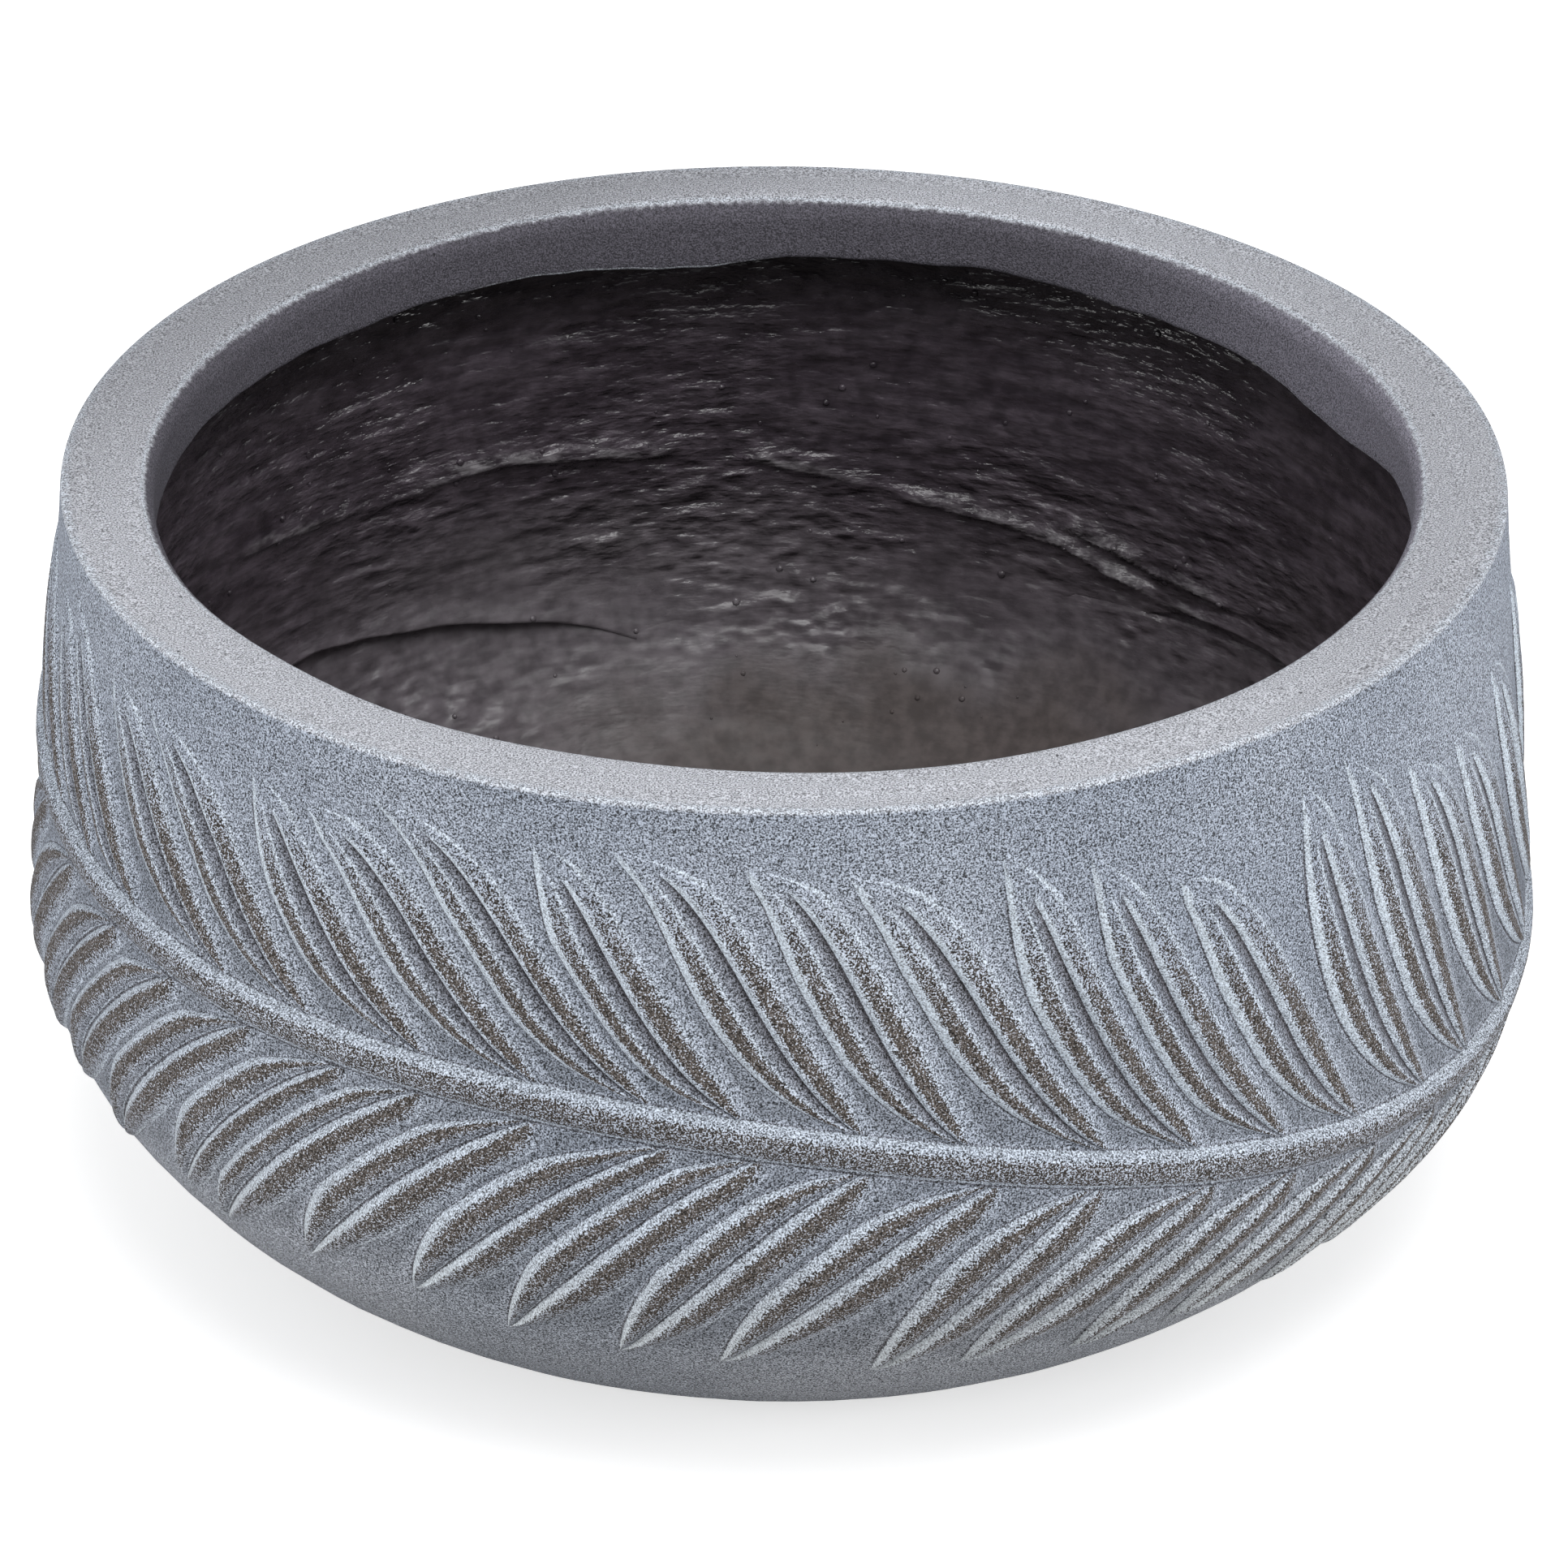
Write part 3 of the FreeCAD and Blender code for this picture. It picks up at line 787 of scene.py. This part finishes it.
leaf_height = times(stored(relief_tree, "leaflet_lift"), relief_inputs["Leaflet rise"])
rib_height = times(stored(relief_tree, "rib_lift"), relief_inputs["Midrib rise"])
wave_scale = sums("DIVIDE", 1.0, relief_inputs["Wave size"])
wave = step("ShaderNodeTexNoise", {"Scale": wave_scale, "Detail": 3.0}).outputs[0]
ground = times(less(wave, wave_top), relief_inputs["Ground wave"], stored(relief_tree, "wave_share"))
total = plus(plus(leaf_height, rib_height), ground)
lift = scaled(stored(relief_tree, "outward", "FLOAT_VECTOR"), total)
raised = step("GeometryNodeSetPosition", {"Geometry": relief_inputs["Geometry"], "Offset": lift})
end_tree(relief_tree, raised.outputs[0], relief_inputs["Finish"])
print("relief tree has", len(relief_tree.nodes), "nodes")

# %% Raised skin
grow(frond_coat, relief_tree, relief_sizes, fibreclay)
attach(frond_coat, "pot")
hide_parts("face_coat")
print("frond coat raised:", len(frond_coat.data.vertices), "points")

# %% [markdown]
# ## The rim
#
# The rim is a thick flat band with a crisp outer edge, a worn round inner edge and a lip that hangs inside,
# torn a little uneven where the mould was closed by hand. It is a ring mesh of its cross-section, with a
# few wobbles that move its edge, its face and the bottom of the lip.

# %% Lip of the rim: angle and height of its bottom, then angle and how pale its edge is, as wear and a painted highlight
lip_stations = (
    (-180, 0.1716), (-172, 0.1692), (-163, 0.1704), (-154, 0.1718), (-140, 0.1716), (-112, 0.1721),
    (-80, 0.17), (-40, 0.169), (0, 0.17), (45, 0.171), (80, 0.1705), (96, 0.1707), (102, 0.17),
    (114, 0.1654), (122, 0.1664), (127, 0.1686), (135, 0.1699), (147, 0.1706), (157, 0.1725), (168, 0.1718),
    (180, 0.1716),
)
lip_edge_stations = (
    (-180, 0.5), (-172, 1), (-156, 0.9), (-140, 0.4), (-112, 0.4), (0, 0.3), (90, 0.5), (112, 0.8),
    (124, 0.8), (140, 0.4), (168, 0.4), (180, 0.5),
)

# %% Rim section
rim_columns = 480
rim_width = 0.0215
rim_margin = 0.0004
outer_fillet = 0.0008
lip_round = 0.0012
lip_arch = 0.0010
lip_pale_share = 0.8
mean_fillet = 0.0050
mean_dip = 0.00025
rim_angle = np.arange(rim_columns) * 360 / rim_columns
inner_fillet = mean_fillet + wobble(rim_angle, 0.0010, 3, 14, 4)
inner_radius = rim_radius - rim_width + wobble(rim_angle, 0.0006, 2, 9, 5) + rim_margin
signed_angle = (rim_angle + 180) % 360 - 180
lip_edge = lip_pale_share * eased(lip_edge_stations, signed_angle)
lip_bottom = eased(lip_stations, signed_angle) + wobble(rim_angle, 0.0004, 20, 90, 7)
top_dip = mean_dip + wobble(rim_angle, 0.0002, 3, 20, 8)
rim_rows = []
tone_rows = []
shade_rows = []


def rim_row(radius, level, tone, shade):
    """One row round the rim, with its share of the rim's colour and of the lip's."""
    rim_rows.append(around(rim_angle, radius + 0 * rim_angle, level + 0 * rim_angle))
    tone_rows.append(tone + 0 * rim_angle)
    shade_rows.append(shade + 0 * rim_angle)


print("lip down to", round(float(lip_bottom.min()), 4))

# %% Rim rows from the outer seam over the top
seam_steps = (0.0, 0.0002, 0.0007)
# The outer edge rows take a small lip share, which paints them pale: wear and a painted highlight
edge_tone = 0.8
edge_shade = 0.1
top_ripple = 0.5
ripple_turn = 7
shade_start = 108
shade_span = 45
for rise in seam_steps:
    level = seam_height + rise
    rim_row(rim_radius + (height - level) * math.tan(wall_tilt), level, 0.0, 0.0)
for turn in np.radians(np.linspace(0, 90, 5)):
    radius = rim_radius - outer_fillet + outer_fillet * math.cos(turn)
    rim_row(radius, height - outer_fillet + (outer_fillet - top_dip) * math.sin(turn), edge_tone, edge_shade)
for share in np.linspace(0, 1, 9)[1:-1]:
    start, end = rim_radius - outer_fillet, inner_radius + inner_fillet
    level = height - top_dip * (1 + top_ripple * math.sin(ripple_turn * share))
    rim_row(start + (end - start) * share, level, 1.0, 0.0)
for turn in np.radians(np.linspace(90, 180, 10)):
    radius = inner_radius + inner_fillet + inner_fillet * math.cos(turn)
    level = height - top_dip - inner_fillet + inner_fillet * math.sin(turn)
    shade = (math.degrees(turn) - shade_start) / shade_span
    rim_row(radius, level, 1.0, min(1.0, max(0.0, shade)))
print("rim rows", len(rim_rows))

# %% Rim rows down the lip and under it
for share in np.linspace(0, 1, 8)[1:]:
    start, end = height - top_dip - inner_fillet, lip_bottom + lip_round
    rim_row(inner_radius, start + (end - start) * share, 1.0, 1.0)
# The bottom edge of the lip is made pale by lip_edge: wear and a painted highlight
for turn in np.radians(np.linspace(180, 270, 5))[1:]:
    radius = inner_radius + lip_round + lip_round * math.cos(turn)
    rim_row(radius, lip_bottom + lip_round + lip_round * math.sin(turn), 1.0, 1.0 - lip_edge)
wall_inside = float(outline(depth_at(lip_height))[0]) - floor_inset
for share in np.linspace(0, 1, 5)[1:]:
    radius = inner_radius + lip_round + (wall_inside - inner_radius) * share
    rim_row(radius, lip_bottom + lip_arch * math.sin(math.pi * share), 1.0, 1.0)
rim_row(wall_inside, seam_height, 0.0, 0.0)
rim_ring = ring_mesh("rim_ring", np.array(rim_rows))
paint(rim_ring, "rim_tone", np.array(tone_rows))
paint(rim_ring, "lip_shade", np.array(shade_rows))
rim_ring.data.materials.append(fibreclay)
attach(rim_ring, "pot")
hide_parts("rim_band")
print("rim:", len(rim_ring.data.polygons), "faces")

# %% [markdown]
# ## The brushed lining
#
# Inside, dark resin was brushed over glass fibre. It dried with streaks round the wall, a few thick folds,
# nibs of fibre, and a second ply that stops in a ragged ledge and fades out at the back. Streaks a few
# millimetres wide are real shape here; only finer brush lines and lumps are left to the material's bump.

# %% Resin colours, and where dust with painted sheen and the painted satin highlight lie
resin_dark = (0.074, 0.061, 0.074, 1.0)
resin_black = (0.038, 0.030, 0.038, 1.0)
# Hazy film on the lower wall, made lighter on the left as a painted sheen
resin_haze_and_sheen = (0.136, 0.121, 0.134, 1.0)
resin_grey = (0.100, 0.088, 0.097, 1.0)
resin_brown = (0.090, 0.076, 0.074, 1.0)
# Colour of the painted satin highlight
resin_satin_highlight = (0.130, 0.118, 0.128, 1.0)
# Colour of the painted highlight on the tops of the folds
resin_fold_highlight = (0.15, 0.14, 0.15, 1.0)
satin_highlight_place = Vector((-0.052, 0.0, 0.0775))
satin_highlight_spread = Vector((1.0, 0.0, 2.6))
fibre_resin, resin, resin_shader = finish_tree("fibre_resin")
brush_lines = grain(resin, 0.018, 3.0, (1.0, 1.0, 4.0))
fine_lines = grain(resin, 0.006, 3.0, (1.0, 1.0, 2.4))
blotch = grain(resin, 0.03, 4.0)
resin_x, _, resin_z = axes(object_place(resin))
dust_and_sheen_wander = 0.05
# Dust lower down, and painted sheen where the lower wall faces the light
dust_and_sheen_level = plus(resin_z, times(less(blotch, 0.5), dust_and_sheen_wander))
dust_and_sheen = ramp(dust_and_sheen_level, 0.115, 0.045)
floor_share = times(ramp(dust_and_sheen_level, 0.066, 0.040), ramp(resin_x, -0.09, -0.01))
# Lighter on the left: painted sheen over the dust
wall_dust_and_sheen = blend(ramp(resin_x, -0.03, 0.04), resin_haze_and_sheen, resin_grey)
dust_and_sheen_colour = blend(floor_share, wall_dust_and_sheen, resin_brown)
# Painted highlight: a soft satin patch low on the left of the wall, broken by the brush lines
spread_inputs = {0: object_place(resin), 1: satin_highlight_spread}
spread_place = step("ShaderNodeVectorMath", spread_inputs, operation="MULTIPLY").outputs[0]
satin_inputs = {0: spread_place, 1: satin_highlight_spread * satin_highlight_place}
from_satin_highlight = step("ShaderNodeVectorMath", satin_inputs, operation="DISTANCE").outputs["Value"]
satin_highlight = times(ramp(from_satin_highlight, 0.085, 0.01), ramp(brush_lines, 0.3, 0.6, 0.35, 0.9))
# Painted highlight: the tops of the folds made lighter
fold_highlight_share = times(mark(resin, "fold_highlight"), ramp(fine_lines, 0.35, 0.6))
print("resin marked with", len(resin.nodes), "nodes")

# %% Resin's colour, gloss, brush lines and lumps
resin_colour = blend(ramp(brush_lines, 0.35, 0.65), resin_black, resin_dark)
for share, tint in ((dust_and_sheen, dust_and_sheen_colour), (satin_highlight, resin_satin_highlight), (fold_highlight_share, resin_fold_highlight)):
    resin_colour = blend(share, resin_colour, tint)
lip_shadow = ramp(resin_z, 0.136, 0.166, 1.0, 0.2)
# Painted shade: the resin made darker in the crevices of the fine brush lines
crevice_shade = ramp(dust_and_sheen, 0.0, 0.6, ramp(fine_lines, 0.34, 0.54, 0.7, 1.05), 1.0)
mottle = ramp(grain(resin, 0.004, 4.0), 0.3, 0.7, 0.78, 1.22)
for shade in (lip_shadow, crevice_shade, mottle):
    resin_colour = scaled(resin_colour, shade)
patchy = ramp(grain(resin, 0.05, 1.0), 0.35, 0.65, 0.35, 1.0)
brush_depth = times(patchy, ramp(dust_and_sheen, 0.0, 1.0, 1.0, 0.2))
lump_depth = times(ramp(resin_z, 0.135, 0.105), ramp(floor_share, 0.5, 0.0), patchy)
brush_line_height = 0.0022
fine_line_height = 0.0015
lump_height = 0.0034
lumps = grain(resin, 0.009, 1.0, (1.0, 1.0, 1.8))
brushed = bump(brush_lines, brush_line_height, brush_depth)
lined = bump(fine_lines, fine_line_height, brush_depth, brushed)
join(resin_shader, {
    "Base Color": resin_colour,
    "Roughness": plus(ramp(fine_lines, 0.3, 0.7, 0.16, 0.32), times(dust_and_sheen, 0.14)),
    "Specular IOR Level": ramp(floor_share, 0.0, 1.0, 0.5, 0.12),
    "Normal": bump(lumps, lump_height, lump_depth, lined),
})
print("resin has", len(resin.nodes), "nodes")

# %% Folds: angle and height where each starts and ends, going round behind, then its rise and width
folds = (
    (-124, 0.1150, -141, 0.1125, 0.0016, 0.0026),
    (-143, 0.1130, -156, 0.1150, 0.0020, 0.0022),
    (-154, 0.1150, -171, 0.1110, 0.0022, 0.0020),
    (-176, 0.1090, -189, 0.1020, 0.0018, 0.0022),
    (-190, 0.0990, -202, 0.0950, 0.0020, 0.0016),
    (-200, 0.0960, -212, 0.0865, 0.0022, 0.0016),
    (-209, 0.0890, -222, 0.0800, 0.0022, 0.0014),
    (-204, 0.0980, -223, 0.0880, 0.0022, 0.0013),
)
fold_wander = 0.0012
fold_uneven = 0.35
fold_slope = 1.8
fold_undercut = 0.6


def fold_rise(angle, level):
    """Height of the thick brushed folds, sloping above and undercut below."""
    rise = np.zeros_like(level)
    uneven = wobble(angle[0], 1.0, 12, 80, 12)
    for start, start_level, end, end_level, size, width in folds:
        share = ((start - angle + 90) % 360 - 90) / (start - end)
        middle = start_level + (end_level - start_level) * np.clip(share, 0, 1) + fold_wander * uneven
        ends = smooth(-0.1, 0.25, share) * (1 - smooth(0.75, 1.1, share))
        above = (level - middle) / width
        profile = np.exp(-((above / np.where(above > 0, fold_slope, fold_undercut)) ** 2))
        rise += size * ends * (1 + fold_uneven * uneven) * profile
    return rise


def streaks(points, run, drop):
    """Noise at each point, with waves of one length round the bowl and another down it."""
    flat = points.reshape(-1, 3) / (run, run, drop)
    return np.array([noise.noise(Vector(place)) for place in flat]).reshape(points.shape[:2])


print(len(folds), "folds")

# %% Ledge where the ply ends: angle and height, then angle and how much of a step it is
ledge_stations = (
    (-180, 0.062), (-168, 0.06), (-160, 0.0672), (-147, 0.0738), (-137, 0.0768), (-110, 0.071),
    (-70, 0.064), (-30, 0.067), (10, 0.063), (50, 0.068), (95, 0.071), (128, 0.08), (142, 0.082),
    (158, 0.07), (180, 0.062),
)
ledge_strength_stations = (
    (-180, 0), (-171, 0), (-165, 0.25), (-157, 0.9), (-140, 1), (-100, 0.8), (-40, 0.6), (20, 0.8),
    (80, 0.5), (125, 0.9), (138, 0.7), (150, 0), (160, 0), (180, 0),
)
lining_columns = 520
ply_overlap = 0.004
lining_angle = np.arange(lining_columns) * 360 / lining_columns - 180
ledge_level = eased(ledge_stations, lining_angle) + wobble(lining_angle, 0.0012, 12, 60, 11)
ledge_strength = np.clip(eased(ledge_strength_stations, lining_angle), 0, 1)
ledge_fade = 1 - ledge_strength
ply_inset = floor_inset + ply_thickness
ply_top = float(depth_at(lip_height + ply_overlap, ply_inset))
ply_end = depth_at(ledge_level, ply_inset)
print("ply from depth", round(ply_top, 4), "to at most", round(float(ply_end.max()), 4))

# %% Brush marks, folds and edge of the ply
ply_shares = np.linspace(0, 1, 130)[:, None]
ply_depth = ply_top + (ply_end - ply_top) * ply_shares
ply_angle = lining_angle + 0 * ply_depth
plain_face = on_bowl(ply_angle, ply_depth, -ply_inset)
streak_rise = 0.0006
bead_rise = 0.0016
bead_share = 0.045
sunk_end = 0.0006
mean_brush = 0.55
brush_patches = 1.2
low_brush = 0.35
edge_calm = 0.7
brush = streak_rise * (streaks(plain_face, 0.030, 0.0030) + streaks(plain_face + 0.5, 0.05, 0.009))
brush = brush * np.clip(mean_brush + brush_patches * streaks(plain_face + 0.9, 0.06, 0.025), 0.15, 1.1)
brush = brush * (low_brush + (1 - low_brush) * smooth(0.06, 0.10, plain_face[..., 2]))
brush = brush * (1 - ledge_fade * smooth(0.82, 0.95, ply_shares))
folded = fold_rise(ply_angle, plain_face[..., 2])
calm = smooth(0.0, 0.12, ply_shares) * (1 - edge_calm * smooth(0.88, 1.0, ply_shares))
edge_bead = bead_rise * ledge_strength * np.exp(-((1 - ply_shares) / bead_share) ** 2)
sunk = smooth(0.93, 1.0, ply_shares) * ledge_fade * sunk_end
inner_inset = ply_inset - sunk + edge_bead + calm * (brush + folded)
print("ply up to", round(1000 * float((inner_inset - floor_inset).max()), 1), "mm thick")

# %% Wall ply
ply_tuck = 0.0003
bare_rows = 10
back_inset = floor_inset - ply_tuck
inner_face = on_bowl(ply_angle, ply_depth, -inner_inset)
edge_face = on_bowl(lining_angle, ply_end + ply_tuck, -(inner_inset[-1] + back_inset) / 2)
outer_depth = ply_top + (ply_end - ply_top) * np.linspace(1, 0, 5)[:, None]
outer_face = on_bowl(lining_angle + 0 * outer_depth, outer_depth, -back_inset)
lining_points = np.concatenate([inner_face, edge_face[None], outer_face])
wall_lining = ring_mesh("wall_lining", lining_points)
inside_rows = np.zeros(lining_points.shape[:2])
inside_rows[bare_rows:len(ply_shares) - 2] = 1
paint(wall_lining, "inside", inside_rows)
# Painted highlight on the fold tops, read by the resin's colour
fold_highlight_rows = np.zeros_like(inside_rows)
fold_highlight_rows[:len(ply_shares)] = smooth(0.0009, 0.0019, folded)
paint(wall_lining, "fold_highlight", fold_highlight_rows)
wall_lining.data.materials.append(fibre_resin)
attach(wall_lining, "pot")
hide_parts("wall_ply")
print("wall lining:", len(wall_lining.data.polygons), "faces")

# %% Inside of the base dish, which rises to meet the ply where that fades out
dish_shares = np.linspace(0, 1, 66)[:, None]
dish_top = depth_at(lap_height, floor_inset)
dish_depth = dish_top + (base_depth - dish_top) * dish_shares + 0 * lining_angle
dish_angle = lining_angle + 0 * dish_depth
dish_plain = on_bowl(dish_angle, dish_depth, -floor_inset)
dish_calm = (1 - smooth(0.75, 1.0, dish_shares)) * smooth(0.0, 0.06, dish_shares)
fine_rise = 0.0003
broad_rise = 0.0005
fine_brush = fine_rise * streaks(dish_plain, 0.024, 0.0060)
dish_brush = fine_brush + broad_rise * streaks(dish_plain + 0.3, 0.04, 0.016)
dish_margin = 0.0001
past_ply = dish_depth - ply_end
near_ply = smooth(-0.022, -0.008, past_ply) * (1 - smooth(0.002, 0.016, past_ply))
flush_rise = ply_thickness * smooth(-0.014, -0.007, past_ply) * (1 - smooth(0.0, 0.04, past_ply))
brush_rise = dish_calm * (dish_brush + dish_margin) * (1 - ledge_fade * near_ply)
rows = [on_bowl(dish_angle, dish_depth, -floor_inset - brush_rise - ledge_fade * flush_rise)]
print("dish rows", len(dish_shares))

# %% Floor, drain hole, foot and outside of the base dish
drain_radius = 0.012
drain_chamfer = 0.0006
first_nib_row = 14
last_nib_row = 52


def flat_ring(radius, level):
    """One level row of the dish."""
    rows.append(around(lining_angle, radius + 0 * lining_angle, level + 0 * lining_angle)[None])


for radius in np.linspace(base_radius, drain_radius + drain_chamfer, 12)[1:]:
    flat_ring(radius, floor_inset)
flat_ring(drain_radius, floor_inset - drain_chamfer)
flat_ring(drain_radius, drain_chamfer)
for radius in np.linspace(drain_radius + drain_chamfer, base_radius + foot_margin - drain_chamfer, 10):
    flat_ring(radius, 0.0)
flat_ring(base_radius + foot_margin, drain_chamfer)
for share in np.linspace(0, 1, 12):
    outer = foot_depth + (depth_at(lap_height, coat_thickness) - foot_depth) * share
    rows.append(on_bowl(lining_angle, outer + 0 * lining_angle, -coat_thickness)[None])
dish_points = np.concatenate(rows)
base_dish = ring_mesh("base_dish", dish_points)
base_inside = np.zeros(dish_points.shape[:2])
base_inside[first_nib_row:last_nib_row] = 1
paint(base_dish, "inside", base_inside)
base_dish.data.materials.append(fibre_resin)
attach(base_dish, "pot")
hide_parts("fibre_base")
print("base dish:", len(base_dish.data.polygons), "faces")

# %% [markdown]
# ## Nibs in the resin
#
# Little beads of fibre and resin stick out of the brushed wall and catch the light. They repeat by the
# hundred with no order, so a Geometry Nodes tree scatters points over the faces marked as inside, and puts
# a small flattened bead on each, in a random size from a fixed seed.

# %% Nib tree
nib_sizes = {"Density": 3200.0, "Bead radius": 0.0011, "Least size": 0.35, "Flatness": 0.6}
nib_tree, nib_inputs = geometry_tree("resin_nibs", nib_sizes)
nib_segments = 8
nib_rings = 5
density = times(nib_inputs["Density"], stored(nib_tree, "inside"))
spot_inputs = {"Mesh": nib_inputs["Geometry"], "Seed": 7, "Density": density}
spots = step("GeometryNodeDistributePointsOnFaces", spot_inputs, distribute_method="RANDOM").outputs
bead_inputs = {"Segments": nib_segments, "Rings": nib_rings, "Radius": nib_inputs["Bead radius"]}
bead = step("GeometryNodeMeshUVSphere", bead_inputs).outputs["Mesh"]
size_inputs = {2: nib_inputs["Least size"], 3: 1.0, "Seed": 3}
sizes = step("FunctionNodeRandomValue", size_inputs, data_type="FLOAT").outputs[1]
squared = times(sizes, sizes)
flattened = times(squared, nib_inputs["Flatness"])
scale = step("ShaderNodeCombineXYZ", {0: squared, 1: squared, 2: flattened}).outputs[0]
beads = step("GeometryNodeInstanceOnPoints", {
    "Points": spots["Points"], "Instance": bead, "Rotation": spots["Rotation"], "Scale": scale,
})
smooth_beads = step("GeometryNodeSetShadeSmooth", {"Geometry": beads.outputs[0]})
end_tree(nib_tree, smooth_beads.outputs[0], nib_inputs["Finish"])
print("nib tree has", len(nib_tree.nodes), "nodes")

# %% Nibs on the wall and the dish
for name, carrier in (("wall_nibs", wall_lining), ("base_nibs", base_dish)):
    nibs = place_object(name, carrier.data.copy())
    grow(nibs, nib_tree, nib_sizes, fibre_resin)
    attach(nibs, "pot")
    print(name, len(nibs.data.polygons) // (nib_segments * nib_rings), "beads")

# %% [markdown]
# ## The rubber plug and the hidden wall
#
# The plug and the hidden ring of the shell are right as the CAD made them, so they keep their meshes and
# only get a finish. Moulded rubber is nearly black, matt, with a faint bloom of dust.

# %% Rubber
rubber_black = (0.016, 0.016, 0.017, 1.0)
rubber_dusty = (0.034, 0.033, 0.032, 1.0)
plug_rubber, rubber, rubber_shader = finish_tree("plug_rubber")
bloom = grain(rubber, 0.004, 4.0)
join(rubber_shader, {
    "Base Color": blend(ramp(bloom, 0.35, 0.75), rubber_black, rubber_dusty),
    "Roughness": ramp(bloom, 0.3, 0.7, 0.62, 0.8),
    "Normal": bump(grain(rubber, 0.0006, 2.0), 0.0001),
})
for name, finish in (("drain_plug", plug_rubber), ("fibre_wall", fibre_resin)):
    cad_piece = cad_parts[name]
    cad_piece.data.materials.clear()
    cad_piece.data.materials.append(finish)
    print(name, "finished in", finish.name)

# %% [markdown]
# ## Floor, light and camera
#
# The photograph is a plain product shot: white ground, broad light from above and from both sides, a small
# low lamp in front that glints in the resin, and a long lens about 29 degrees above the horizon. The floor
# is bright to the camera and greyer to other rays, and the world shows white to the camera.

# %% Floor
white = (1.0, 1.0, 1.0, 1.0)
floor_grey = (0.52, 0.52, 0.52, 1.0)
floor_bright = (0.9, 0.9, 0.9, 1.0)
floor_glow = 0.5
floor_half = 6.0
floor_finish, floor_nodes, floor_shader = finish_tree("studio_floor")
floor_seen = node(floor_nodes, "ShaderNodeLightPath").outputs["Is Camera Ray"]
join(floor_shader, {
    "Base Color": blend(floor_seen, floor_grey, floor_bright),
    "Roughness": 0.9,
    "Emission Color": white,
    "Emission Strength": times(floor_seen, floor_glow),
})
floor_corners = [(x * floor_half, y * floor_half, 0) for x, y in ((-1, -1), (1, -1), (1, 1), (-1, 1))]
floor_mesh = bpy.data.meshes.new("studio_floor")
floor_mesh.from_pydata(floor_corners, [], [(0, 1, 2, 3)])
floor_mesh.materials.append(floor_finish)
studio_floor = place_object("studio_floor", floor_mesh)
print("floor", 2 * floor_half, "m square")

# %% World
world = bpy.data.worlds.new("studio_world")
scene.world = world
world.use_nodes = True
sky = world.node_tree
sky_light = 0.48
path = node(sky, "ShaderNodeLightPath").outputs
seen = sums("MAXIMUM", path["Is Camera Ray"], path["Is Transmission Ray"])
join(sky.nodes["Background"], {"Color": white, "Strength": ramp(seen, 0.0, 1.0, sky_light, 1.0)})
print("sky light", sky_light)

# %% Lamps: place, size and power
lamps = {
    "key_above": ((0.12, -0.56, 1.30), 1.0, 13.0),
    "left_fill": ((-1.4, -0.60, 0.24), 0.9, 14.4),
    "right_fill": ((1.4, -0.60, 0.28), 0.9, 15.6),
    "front_glint": ((-0.58, -1.59, 0.95), 0.35, 3.0),
}
lamp_aim = Vector((0, 0, 0.1))
for name, (place, size, power) in lamps.items():
    light = bpy.data.lights.new(name, "AREA")
    light.shape = "DISK"
    light.size = size
    light.energy = power
    lamp = place_object(name, light)
    lamp.location = place
    lamp.rotation_euler = (lamp_aim - Vector(place)).to_track_quat("-Z", "Y").to_euler()
print(len(lamps), "lamps")

# %% Camera at the photograph's view
image_size = 1932
lens_pixels = 11116
sensor = 36.0
eye_distance = 2.1
eye_elevation = math.radians(28.7)
eye_roll = math.radians(0.49)
eye_target = Vector((0.0, 0.0, 0.0935))
frame_offset = (2.9, 49.8)
eye = eye_target + eye_distance * Vector((0, -math.cos(eye_elevation), math.sin(eye_elevation)))
pixel = eye_distance / lens_pixels
aim = eye_target + Vector((frame_offset[0] * pixel, 0, frame_offset[1] * pixel / math.cos(eye_elevation)))
facing = (aim - eye).to_track_quat("-Z", "Y").to_matrix().to_4x4()
camera_data = bpy.data.cameras.new("photo_camera")
camera_data.sensor_width = sensor
camera_data.lens = sensor * lens_pixels / image_size
camera = place_object("photo_camera", camera_data)
camera.matrix_world = Matrix.Translation(eye) @ facing @ Matrix.Rotation(eye_roll, 4, "Z")
scene.camera = camera
scene.view_settings.view_transform = "Standard"
print("lens", round(camera_data.lens, 1), "mm")
